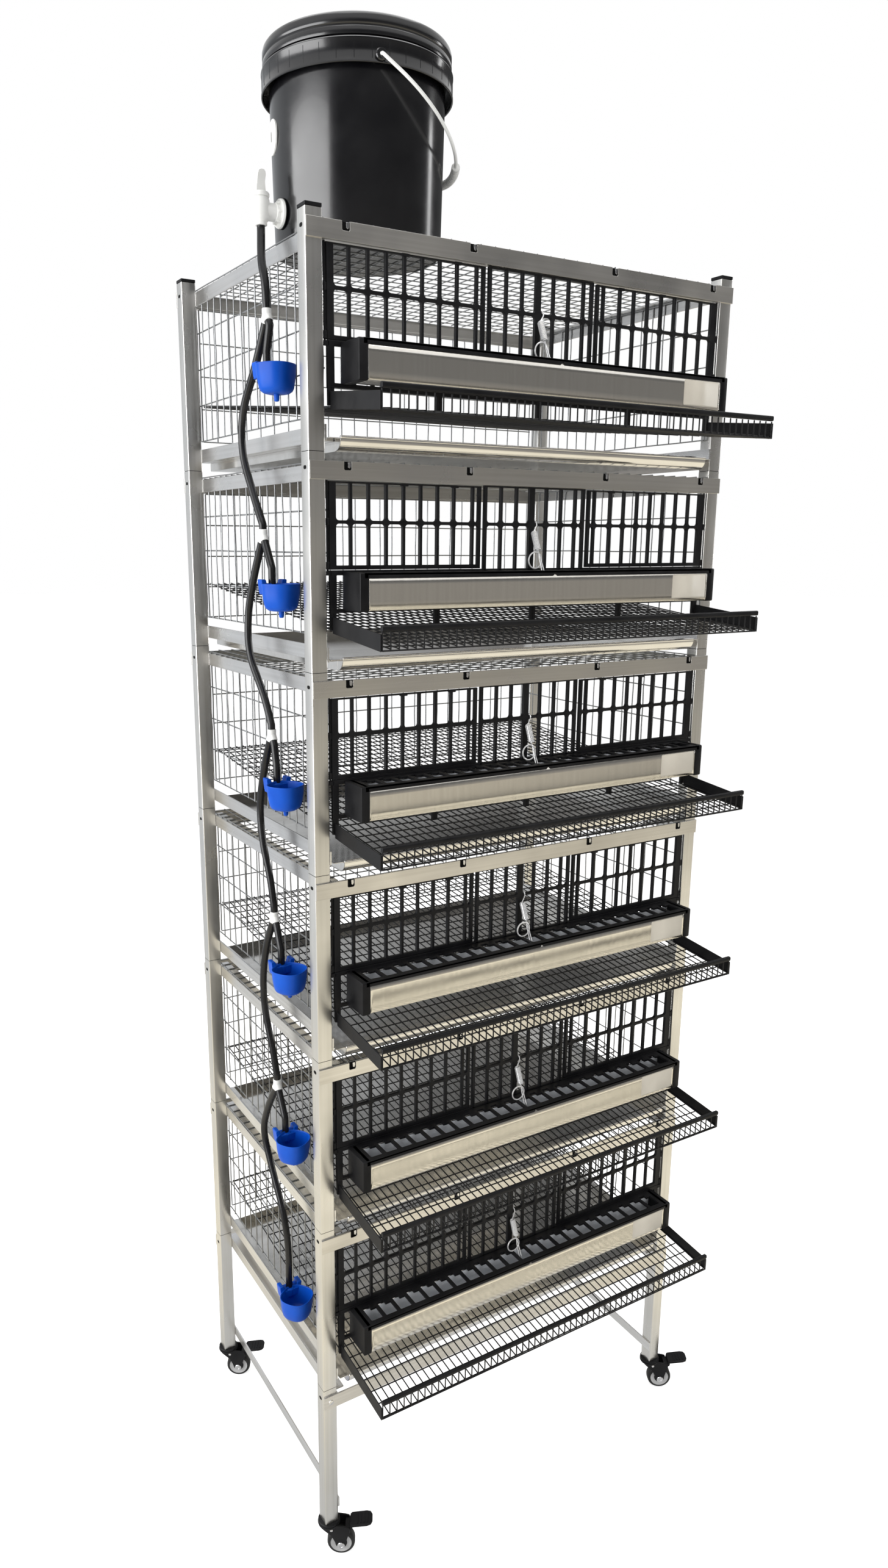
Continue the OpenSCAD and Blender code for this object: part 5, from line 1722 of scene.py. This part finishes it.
@dataclass
class Water:
    """Pail, lid, bail, valve, cups and tees."""

    palette: Palette
    pail_profile: Outline = (
        (0, 0.6), (114, 0.6), (118, 0), (122.6, 0), (124.4, 1.0), (125.05, 4), (129.76, 208), (130.4, 236.6),
        (131.4, 237), (138.4, 237), (139.4, 236), (139.5, 209.5), (140, 209), (141, 209), (141.4, 209.5),
        (141.4, 212), (140.8, 213.2), (140.8, 236), (141.4, 237.2), (141.4, 239), (140.6, 240.4), (139, 241),
        (132, 241), (130.8, 242), (131, 261), (130.2, 262), (128.8, 262), (128, 261), (122.1, 6), (119, 3.2),
        (0, 3.0))
    rib_count: int = 36
    rib: Outline = ((140.4, -0.5), (141.0, -0.3), (141.0, 0.3), (140.4, 0.5))
    rib_z: float = 214.2
    rib_h: float = 21.0
    ear_turn: float = math.radians(255)
    ear: Span = (138.0, 144.8)
    ear_r: float = 8.0
    ear_edge: float = 1.4
    disc_turn: float = math.radians(168)
    disc_z: float = 150.0
    disc_r: float = 128.1
    disc_profile: Outline = ((0, 2.6), (20.6, 2.6), (22.6, 2.2), (23.4, 1.2), (23.4, -1.0))
    disc_slot: Box = (-1.6, -7.0, 1.6, 7.0)
    disc_slot_round: float = 1.5
    disc_slot_t: Span = (0.5, 0.1)
    lid_profile: Outline = (
        (0, 262.4), (131.3, 262.4), (131.4, 244), (132.2, 243), (137.4, 243), (138.6, 243.6), (139, 245),
        (139, 252), (138.4, 253.4), (137.2, 254.2), (137.2, 255.6), (138.2, 256.4), (138.9, 258), (139, 260),
        (138.9, 265.6), (138.2, 268.6), (136.6, 270.8), (134.6, 271.8), (132, 272), (118, 272),
        (116.5, 271.4), (112.4, 267), (110.5, 266.2), (60, 266.2), (58, 266.8), (55, 266.8),
        (53, 266.2), (0, 266.2))
    smooth_angle: float = 28.0
    bail_r: float = 147.5
    bail_arm: float = 30.0
    bail_wire: float = 2.4
    bow_steps: int = 48
    bail_turn: float = math.radians(345)
    bail_lean: float = math.radians(35)
    bail_end: Outline = ((0, 8), (0, 2.2), (0.6, 0.6), (2.4, 0), (18, 0))
    grip_ribs: int = 18
    grip_span: float = 19.0
    grip_gap: Span = (0.06, 0.94)
    grip_r: Span = (6.4, 5.6)
    grip_groove: float = math.radians(0.16)
    grip_edge: float = 0.7
    valve_profile: Outline = (
        (10, -5), (11, -5), (11, 1.4), (20, 1.4), (20, 2.2), (19.4, 4.6), (18.2, 5.6), (14.2, 5.6),
        (13.4, 6.2), (13.4, 11), (12, 12.2), (12, 33), (0, 33))
    valve_nut: Outline = ((0, -5), (17, -5), (17, -12), (0, -12))
    valve_gasket: Outline = ((11, 0), (20.6, 0), (20.9, 0.7), (20.6, 1.5), (11, 1.5))
    lug_count: int = 6
    lug_out: float = 14.6
    lug_x: Span = (5.4, 10.6)
    lug_taper: float = 0.93
    lug_r: float = 1.9
    barrel_profile: Outline = (
        (0, 0), (8, 0), (9.2, 0.8), (9.2, 5), (11, 7), (13.2, 10), (13.5, 12), (13.5, 31), (13, 34),
        (12.2, 35.4), (12.2, 37), (0, 37))
    hub_profile: Outline = ((0, 0), (12.4, 0), (13.2, 0.8), (13.2, 4.6), (11.5, 6.6), (7.6, 7.4), (0, 7.4))
    thumb: Outline = (
        (-7.8, 5), (7.8, 5), (7.0, 12), (6.4, 21), (7.9, 29), (7.7, 33.6), (5.4, 36.4), (1.6, 36.8),
        (-2.4, 35), (-4.6, 30), (-5.8, 20), (-7, 12))
    thumb_t: float = 8.0
    stem_r: float = 4.4
    stem_h: float = 14.0
    lever_edge: float = 1.4
    cup_profile: Outline = (
        (0, -41), (14, -41), (19, -40), (23.4, -37), (25.6, -33), (27.4, -24), (28.7, -15), (29.5, -3),
        (29.9, -1.5), (29.9, -0.3), (29, 0), (27.8, -0.4), (27.4, -2), (26.4, -15), (24.8, -25), (22.6, -32),
        (19, -36), (14, -38.4), (0, -38.6))
    cup_turn: float = math.radians(35)
    cup_power: float = 2.5
    neck_profile: Outline = ((0, -3), (9, -3), (10.5, -5), (10.5, -14), (8, -22), (3, -27), (0, -27.5))
    block: Outline = ((0, 22), (14, 22), (18.4, 23), (19, 25), (19, 38), (18, 40.6), (15, 42), (0, 42))
    block_z: float = -17.0
    block_h: float = 13.0
    horn: Outline = ((11.5, -14), (19, -14), (20, -5), (21, 4), (20.2, 5.6), (15, 5.6), (13.4, 4.4), (12, -4))
    horn_back: float = 40.0
    horn_l: float = 16.0
    nipple_profile: Outline = ((0, -51), (2.6, -51), (3.4, -50), (4, -47), (4.4, -40), (0, -40))
    cup_edge: float = 0.7
    fitting_angle: float = 32.0
    tee_profile: Outline = ((0, -7), (4, -6), (6.7, -2.5), (7, 0), (7, 8.4), (6.4, 9), (0, 9))
    leg_profile: Outline = ((0, 0), (6.9, 0), (7, 10.4), (6.4, 11), (0, 11))

    def build(self) -> list[Object]:
        """Makes the rigid pieces of the water line and returns them."""
        return [self._pail(), self._lid(), self._bail(), *self._valve(), self._cups(), self._tees()]

    @staticmethod
    def _at(z: float = 0.0) -> Matrix:
        """A place on the pail's axis, z above its foot."""
        return Matrix.Translation((W.pail_x, W.pail_y, W.foot + z))

    def _pail(self) -> Object:
        """The tapered shell with its open-below collar, ears and a white disc on its wall, whose slot is
        painted shade.

        Returns:
            The pail.
        """
        p = Piece(self.palette, Finish.GLOSS, Finish.WHITE, Finish.DARK)
        p.lathe(self.pail_profile, self._at(), steps=160)
        for i in range(self.rib_count):
            turn = Matrix.Rotation(2 * math.pi * i / self.rib_count, 4, "Z")
            p.prism(self.rib, self.rib_h, self._at() @ turn @ Matrix.Translation((0, 0, self.rib_z)))
        centre = self._at(W.ear_z).translation
        for a in (self.ear_turn, self.ear_turn + math.pi):
            way = Vector((math.cos(a), math.sin(a), 0))
            p.rod(*(centre + way * r for r in self.ear), self.ear_r, steps=32, edge=self.ear_edge)
        way = Vector((math.cos(self.disc_turn), math.sin(self.disc_turn), 0))
        at = self._at(self.disc_z).translation + way * self.disc_r
        face = axis_frame(at, at + way)
        p.paint = Finish.WHITE
        p.lathe(self.disc_profile, face, steps=48)
        # painted shade: a dark plate stands in for the shade inside the disc's slot
        p.paint = Finish.DARK
        p.plate(rounded(*self.disc_slot, self.disc_slot_round), [], *self.disc_slot_t,
                face @ Matrix.Translation((0, 0, self.disc_profile[0][1])))
        return p.place("pail_shell", "cage", Slot.GLOSS, "pail", angle=self.smooth_angle)

    def _lid(self) -> Object:
        """The lid: a lipped skirt, a rolled shoulder and a sunk top.

        Returns:
            The lid.
        """
        p = Piece(self.palette, Finish.GLOSS)
        p.lathe(self.lid_profile, self._at(), steps=160)
        return p.place("pail_cover", "pail_lid", Slot.GLOSS, "pail_lid", angle=self.smooth_angle)

    def _bail(self) -> Object:
        """The wire bail with its ribbed grip, leaning on the pail.

        Returns:
            The bail.
        """
        p = Piece(self.palette, Finish.WHITE)
        r, arm = self.bail_r, self.bail_arm
        turn = (self._at(W.ear_z) @ Matrix.Rotation(self.bail_turn, 4, "Z")
                @ Matrix.Rotation(self.bail_lean, 4, "Y"))

        def on_bow(a: float) -> Vector:
            """The point of the bow at an angle from its middle."""
            return Vector((arm + r * math.cos(a), r * math.sin(a), 0))

        path = [Vector((x, inset - r, 0)) for x, inset in self.bail_end]
        path += [on_bow(math.radians(-90 + 180 * i / self.bow_steps)) for i in range(self.bow_steps + 1)]
        path += [Vector((x, r - inset, 0)) for x, inset in reversed(self.bail_end)]
        p.tube([turn @ q for q in path], self.bail_wire, sides=12)
        rib, groove = self.grip_r
        for i in range(self.grip_ribs):
            a0, a1 = (math.radians(-self.grip_span + 2 * self.grip_span * (i + f) / self.grip_ribs)
                      for f in self.grip_gap)
            for lo, hi, wide in ((a0, a1, rib), (a1, a1 + self.grip_groove, groove)):
                p.rod(turn @ on_bow(lo), turn @ on_bow(hi), wide, steps=18, edge=self.grip_edge)
        return p.place("pail_handle", "pail_bail", Slot.WHITE, "pail_bail")

    def _valve(self) -> list[Object]:
        """The flanged valve on its black gasket, and the thumb lever on top.

        Returns:
            The valve's body and its lever.
        """
        body, lever = Piece(self.palette, Finish.WHITE, Finish.BLACK), Piece(self.palette, Finish.WHITE)

        def at(x: float, z: float = 0.0) -> Vector:
            """A point on the valve's axis, x out from the pail's wall."""
            return Vector((W.pail_x - W.wall_r - x, W.pail_y, W.foot + W.valve_z + z))

        out = axis_frame(at(0), at(1))
        body.lathe(self.valve_profile, out, steps=40)
        body.lathe(self.valve_nut, out, steps=6)
        body.paint = Finish.BLACK
        body.lathe(self.valve_gasket, out, steps=40)
        body.paint = Finish.WHITE
        for i in range(self.lug_count):
            a = 2 * math.pi * i / self.lug_count
            d = Vector((0, math.cos(a), math.sin(a))) * self.lug_out
            body.rod(at(self.lug_x[0]) + d, at(self.lug_x[1]) + d * self.lug_taper, self.lug_r, steps=10)
        barrel = axis_frame(at(W.reach, -W.barrel_foot), at(W.reach, W.barrel_top))
        body.lathe(self.barrel_profile, barrel, steps=36)
        hub = at(W.reach, W.barrel_top + W.seat)
        up = Vector((0, 0, 1))
        lever.lathe(self.hub_profile, axis_frame(hub, hub + up), steps=36)
        lever.prism(self.thumb, self.thumb_t,
                    Matrix.Translation(hub + Vector((0, self.thumb_t / 2, 0))) @ UPRIGHT)
        lever.rod(hub - up * self.stem_h, hub, self.stem_r, steps=16)
        return [body.place("valve_shell", "cage", Slot.WHITE, "valve_body", angle=30),
                lever.place("valve_handle", "valve_lever", Slot.WHITE, "valve_lever", edge=self.lever_edge)]

    def _cups(self) -> Object:
        """Softly squared bowls, each with an eared hose block behind and a valve nipple below.

        Returns:
            The cups as one piece.
        """
        p = Piece(self.palette, Finish.BLUE)
        for tier in TIERS:
            at = Matrix.Translation((W.cup_x, W.cup_y, S.top(tier) - W.cup_drop))
            p.lathe(self.cup_profile, at @ Matrix.Rotation(self.cup_turn, 4, "Z"), steps=64,
                    power=self.cup_power)
            p.lathe(self.neck_profile, at @ Matrix.Translation((0, W.neck_back, 0)), steps=32)
            for sx in Side:
                flip = at @ Matrix.Diagonal((sx, 1, 1, 1))
                p.prism(self.block, self.block_h, flip @ Matrix.Translation((0, 0, self.block_z)))
                p.prism(self.horn, self.horn_l, flip @ Matrix.Translation((0, self.horn_back, 0)) @ UPRIGHT)
            p.lathe(self.nipple_profile, at, steps=20)
        return p.place("drinker_bowls", "cage", Slot.BLUE, "drinker_cups", edge=self.cup_edge,
                       angle=self.fitting_angle)

    def _tees(self) -> Object:
        """Short three-way hose fittings.

        Returns:
            The tees as one piece.
        """
        p = Piece(self.palette, Finish.WHITE)
        for k in TEES:
            c = W.tee(k) + Vector((0, 0, S.top(k)))
            p.lathe(self.tee_profile, Matrix.Translation(c), steps=24)
            for side in Face:
                p.lathe(self.leg_profile, axis_frame(c, c + W.leg_way(side)), steps=24)
        return p.place("hose_fittings", "cage", Slot.WHITE, "hose_tees", angle=self.fitting_angle)


@dataclass
class Casters:
    """Swivel forks, wheels and brake pedals."""

    palette: Palette
    turn: float = math.radians(-30)
    trail: float = 22.0
    axle_z: float = 25.0
    crown_profile: Outline = (
        (0, 62.9), (18, 62.9), (19.6, 63.6), (20, 65), (20, 66.4), (18.6, 67), (18.6, 68), (19.4, 68.6),
        (19.4, 70.6), (18.4, 71.6), (0, 71.6))
    leg: Outline = (
        (-14.4, 67), (14.4, 67), (30, 64.6), (36.6, 62.5), (38, 59), (38, 51), (34, 42), (29, 22.5),
        (27.6, 19.6), (25, 18.2), (19, 18.2), (16.2, 20), (14.6, 24), (5, 45), (-9, 58), (-13.4, 63))
    leg_t: float = 3.0
    leg_out: float = 13.0
    soft: float = 0.8
    nut_profile: Outline = ((6.9, 0), (6.9, 1.2), (6.2, 2), (3.4, 2), (3.0, 1.4), (0, 1.4))
    nut_out: float = 14.4
    rivet_profile: Outline = ((3.0, 0), (2.6, 0.9), (1.4, 1.5), (0, 1.7))
    rivet_at: Spot = (5.0, 14.3, 58.0)
    pin_half: float = 14.0
    axle_r: float = 3.9
    pivot_at: Span = (33.0, 56.0)
    pivot_r: float = 2.4
    stem_z: Span = (71.0, 100.0)
    stem_r: float = 5.4
    tyre_profile: Outline = (
        (19, -9.4), (21, -9.4), (23.4, -8.4), (24.6, -6.6), (25, -4.5), (25, 4.5), (24.6, 6.6), (23.4, 8.4),
        (21, 9.4), (19, 9.4))
    disc_profile: Outline = ((10.4, 7.4), (11, 8.2), (18, 8.6), (19.1, 9.2), (19.1, 9.0))
    hub_profile: Outline = ((4.05, 10.9), (9.6, 10.9), (10.2, 10.2), (10.4, 7.2))
    pedal: Outline = ((30, 51.6), (36, 51.2), (42.4, 56), (43.4, 68), (38.6, 68), (37.6, 61), (30, 61))
    pedal_w: float = 22.2
    tread: Outline = (
        (0, -12), (3, -14.6), (30, -14.8), (37, -12.6), (40, -7), (40, 7), (37, 12.6), (30, 14.8), (3, 14.6),
        (0, 12))
    tread_at: Spot = (39.0, 0.0, 65.5)
    tread_tilt: float = math.radians(-7)
    tread_t: float = 4.6
    tread_edge: float = 1.4
    grip_count: int = 4
    grip_start: float = 13.0
    grip_pitch: float = 6.0
    grip_z: float = 2.5
    grip_size: Spot = (2.2, 20.0, 1.0)

    def build(self) -> list[Object]:
        """Makes the four casters.

        Returns:
            The fork, the wheel and the pedal of each.
        """
        made = []
        for corner in Corner:
            at = Matrix.Translation((*S.corner(corner), 0)) @ Matrix.Rotation(self.turn, 4, "Z")
            made += [make(corner.label, at) for make in (self._fork, self._wheel, self._pedal)]
        return made

    def _fork(self, label: str, at: Matrix) -> Object:
        """The fork with its crown, axle, pedal pivot and stem.

        Args:
            label: Name of the corner.
            at: Place of the swivel's axis.

        Returns:
            The fork.
        """
        p = Piece(self.palette, Finish.BLACK, Finish.BRIGHT)
        p.lathe(self.crown_profile, at, steps=40)
        for s in (-1, 1):
            p.plate(self.leg, [], self.leg_t, self.soft,
                    at @ Matrix.Translation((0, s * self.leg_out, 0)) @ UPRIGHT)
            p.paint = Finish.BRIGHT
            way = Vector((0, s, 0))
            nut = Vector((self.trail, s * self.nut_out, self.axle_z))
            p.lathe(self.nut_profile, at @ axis_frame(nut, nut + way), steps=20)
            x, y, z = self.rivet_at
            rivet = Vector((x, s * y, z))
            p.lathe(self.rivet_profile, at @ axis_frame(rivet, rivet + way), steps=14)
            p.paint = Finish.BLACK
        axle, half = (self.trail, self.axle_z), self.pin_half
        for (x, z), r, steps in ((axle, self.axle_r, 16), (self.pivot_at, self.pivot_r, 12)):
            p.rod(at @ Vector((x, -half, z)), at @ Vector((x, half, z)), r, steps)
        p.rod(*(at @ Vector((0, 0, z)) for z in self.stem_z), self.stem_r, steps=16)
        return p.place(f"caster_yoke_{label}", f"caster_{label}", Slot.BLACK, f"caster_fork_{label}")

    def _wheel(self, label: str, at: Matrix) -> Object:
        """The tyre with a pale disc and a black hub on both sides.

        Args:
            label: Name of the corner.
            at: Place of the swivel's axis.

        Returns:
            The wheel.
        """
        p = Piece(self.palette, Finish.TYRE, Finish.DISC, Finish.BLACK)
        spin = at @ Matrix.Translation((self.trail, 0, self.axle_z)) @ UPRIGHT
        p.lathe(self.tyre_profile, spin, steps=64)
        for s in (-1, 1):
            p.paint = Finish.DISC
            p.lathe([(r, s * z) for r, z in self.disc_profile], spin, steps=64)
            p.paint = Finish.BLACK
            p.lathe([(r, s * z) for r, z in self.hub_profile], spin, steps=40)
        return p.place(f"caster_tyre_{label}", f"wheel_{label}", Slot.RUBBER, f"caster_wheel_{label}",
                       angle=30)

    def _pedal(self, label: str, at: Matrix) -> Object:
        """The brake pedal with its ribbed tread.

        Args:
            label: Name of the corner.
            at: Place of the swivel's axis.

        Returns:
            The pedal.
        """
        p = Piece(self.palette, Finish.BLACK)
        p.plate(self.pedal, [], self.pedal_w, self.soft, at @ UPRIGHT)
        top = at @ Matrix.Translation(self.tread_at) @ Matrix.Rotation(self.tread_tilt, 4, "Y")
        p.plate(self.tread, [], self.tread_t, self.tread_edge, top)
        for i in range(self.grip_count):
            x = self.grip_start + self.grip_pitch * i
            p.bar_in(top @ Matrix.Translation((x, 0, self.grip_z)), self.grip_size)
        return p.place(f"caster_tread_{label}", f"pedal_{label}", Slot.BLACK, f"caster_pedal_{label}")


# Stage


@dataclass(frozen=True)
class Lamp:
    """An area lamp; places and sizes are in metres."""

    name: str
    place: Spot
    aim: Spot
    size: Span
    power: float
    mirrored: bool = True


@dataclass
class Stage:
    """Camera, floor, room, world and lamps; places and sizes are in metres."""

    eye: Spot = (-1.0694, -1.6463, 1.777)
    ahead: Spot = (0.4919, 0.8397, -0.2299)
    roll: float = math.radians(0.15)
    sensor: float = 36.0
    lens: float = 24.26
    shift: Span = (0.0298, 0.0068)
    clip: Span = (0.01, 100.0)
    world_light: float = 0.42
    floor_r: float = 40.0
    floor_grey: float = 0.90
    floor_rough: float = 0.8
    floor_shine: float = 0.1
    floor_glow: float = 0.62
    room_r: float = 5.0
    room_hole: float = 0.05
    room_z: tuple[float, ...] = (0.0, 1.4, 2.8, 4.6)
    room_lift: float = 0.004
    wall_h: float = 4.0
    wall_colours: tuple[tuple[float, Colour], ...] = (
        (0.0, (1.0, 0.93, 0.76)), (0.012, (0.50, 0.46, 0.38)), (0.12, (0.36, 0.34, 0.30)),
        (0.25, (0.30, 0.285, 0.26)), (0.55, (0.21, 0.205, 0.20)), (0.80, (0.13, 0.13, 0.13)),
        (1.0, (0.10, 0.10, 0.10)))
    near: Span = (0.5, 0.85)
    near_colour: Colour = (0.62, 0.62, 0.61)
    aside: Span = (1.0, 4.0)
    aside_colour: Colour = (0.62, 0.64, 0.66)
    lamps: tuple[Lamp, ...] = (
        Lamp("window", (-3.2, 0.1, 2.0), (0, 0, 1.7), (3.2, 2.4), 135.0),
        Lamp("strip", (3.0, -0.6, 2.3), (0, 0, 2.0), (0.4, 2.0), 16.0),
        Lamp("fill", (0.6, -4.0, 2.2), (0, 0, 1.2), (2.4, 1.6), 40.0, mirrored=False),
        Lamp("top", (0.0, 0.0, 5.2), (0, 0, 0), (3.6, 3.6), 90.0))

    def build(self) -> list[Object]:
        """Makes the floor, the room, the world and the lamps.

        Returns:
            The floor and the room.
        """
        made = [self._floor(), self._room()]
        self._world()
        self._lamps()
        return made

    def camera(self) -> None:
        """The photograph's viewpoint, fitted to the posts and rails."""
        data = bpy.data.cameras.new("camera")
        data.sensor_fit, data.sensor_width, data.lens = "AUTO", self.sensor, self.lens
        data.shift_x, data.shift_y = self.shift
        data.clip_start, data.clip_end = self.clip
        cam = shown("camera", data)
        cam.location = self.eye
        look = Vector(self.ahead).normalized().to_track_quat("-Z", "Y").to_matrix()
        cam.rotation_euler = (look @ Matrix.Rotation(self.roll, 3, "Z")).to_euler()
        bpy.context.scene.camera = cam

    def _world(self) -> None:
        """White to the eye and in reflections, dimmer as light."""
        world = bpy.data.worlds.new("studio")
        bpy.context.scene.world = world
        world.use_nodes = True
        wiring = Wiring(world.node_tree)
        background = world.node_tree.nodes["Background"]
        background.inputs["Color"].default_value = (1, 1, 1, 1)
        strength = wiring.span(wiring.seen(), (0.0, 1.0), (self.world_light, 1.0))
        wiring.feed(background.inputs["Strength"], strength)

    @staticmethod
    def _stand(name: str, bm: bmesh.types.BMesh) -> tuple[Object, Wiring]:
        """Makes an object of the stage with an empty material.

        Args:
            name: Name of the object and its material.
            bm: Its mesh, which is used up.

        Returns:
            The object and the wiring of its material.
        """
        mesh = bpy.data.meshes.new(name)
        bm.to_mesh(mesh)
        bm.free()
        obj = shown(name, mesh)
        mat = bpy.data.materials.new(name)
        mat.use_nodes = True
        mesh.materials.append(mat)
        return obj, Wiring(mat.node_tree)

    def _floor(self) -> Object:
        """A pale floor that reaches white in the light and keeps the shadow.

        Returns:
            The floor.
        """
        bm = bmesh.new()
        bmesh.ops.create_circle(bm, cap_ends=True, segments=96, radius=self.floor_r)
        obj, wiring = self._stand("floor", bm)
        shader = wiring.tree.nodes["Principled BSDF"]
        shader.inputs["Base Color"].default_value = (self.floor_grey,) * 3 + (1,)
        shader.inputs["Roughness"].default_value = self.floor_rough
        shader.inputs["Specular IOR Level"].default_value = self.floor_shine
        shader.inputs["Emission Color"].default_value = (1, 1, 1, 1)
        glow = wiring.math("MULTIPLY", wiring.seen(), self.floor_glow)
        wiring.feed(shader.inputs["Emission Strength"], glow)
        return obj

    def _room(self) -> Object:
        """Dim walls and a floor round the stage, which only the shiny surfaces see.

        Returns:
            The room.
        """
        bm = bmesh.new()
        bmesh.ops.create_circle(bm, cap_ends=False, segments=64, radius=self.room_hole)
        rim = list(bm.edges)
        for z in self.room_z:
            made = bmesh.ops.extrude_edge_only(bm, edges=rim)["geom"]
            rim = [g for g in made if isinstance(g, bmesh.types.BMEdge)]
            for v in {v for e in rim for v in e.verts}:
                a = math.atan2(v.co.y, v.co.x)
                v.co = (self.room_r * math.cos(a), self.room_r * math.sin(a), z)
        obj, wiring = self._stand("room", bm)
        obj.location.z = self.room_lift
        for flag in ("visible_camera", "visible_diffuse", "visible_shadow", "visible_transmission"):
            setattr(obj, flag, False)
        nodes = wiring.tree.nodes
        nodes.remove(nodes["Principled BSDF"])
        glow = wiring.add("ShaderNodeEmission")
        wiring.feed(glow.inputs["Color"], self._room_colour(wiring))
        wiring.feed(nodes["Material Output"].inputs["Surface"], glow.outputs["Emission"])
        return obj

    def _room_colour(self, wiring: Wiring) -> Socket:
        """Colours of the room: a warm floor, grey by the feet, walls that darken upward, a pale left side.

        Args:
            wiring: The wiring of the room's material.

        Returns:
            The socket that holds the colour.
        """
        place = wiring.add("ShaderNodeTexCoord").outputs["Object"]
        split = wiring.add("ShaderNodeSeparateXYZ")
        wiring.feed(split.inputs[0], place)
        ramp = wiring.add("ShaderNodeValToRGB")
        wiring.feed(ramp.inputs["Fac"], wiring.span(split.outputs["Z"], (0.0, self.wall_h)))
        (_, lowest), *between, (_, highest) = self.wall_colours
        ramp.color_ramp.elements[0].color = (*lowest, 1)
        ramp.color_ramp.elements[1].color = (*highest, 1)
        for share, colour in between:
            ramp.color_ramp.elements.new(share).color = (*colour, 1)
        reach = wiring.add("ShaderNodeVectorMath", operation="LENGTH")
        wiring.feed(reach.inputs[0], place)
        away = wiring.span(reach.outputs["Value"], self.near)
        front = wiring.mix(away, (*self.near_colour, 1), ramp.outputs["Color"])
        left = wiring.span(wiring.math("SUBTRACT", split.outputs["Y"], split.outputs["X"]), self.aside)
        return wiring.mix(left, front, (*self.aside_colour, 1))

    def _lamps(self) -> None:
        """A window on the left, a strip on the right, a weak front fill and a broad top light."""
        for lamp in self.lamps:
            data = bpy.data.lights.new(lamp.name, "AREA")
            data.shape, data.size, data.size_y, data.energy = "RECTANGLE", *lamp.size, lamp.power
            obj = shown(lamp.name, data)
            obj.location = lamp.place
            obj.rotation_euler = (Vector(lamp.aim) - Vector(lamp.place)).to_track_quat("-Z", "Y").to_euler()
            obj.visible_camera = False
            obj.visible_glossy = lamp.mirrored


def main() -> None:
    """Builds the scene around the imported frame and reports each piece."""
    logging.basicConfig(level=logging.INFO)
    for obj in list(bpy.data.objects):
        bpy.data.objects.remove(obj)
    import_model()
    bpy.context.scene.view_settings.view_transform = "Standard"
    palette, stage = Palette(), Stage()
    stage.camera()
    mesh = Mesh(palette, random.Random(WIRE_SEED))
    for part in (Hose(palette), Frame(palette), mesh, Front(palette), Feeders(palette), Trays(palette),
                 Water(palette), Casters(palette), stage):
        for obj in part.build():
            LOG.info("%s: %s", type(part).__name__, obj.name)
    bpy.context.view_layer.update()


if __name__ == "__main__":
    main()
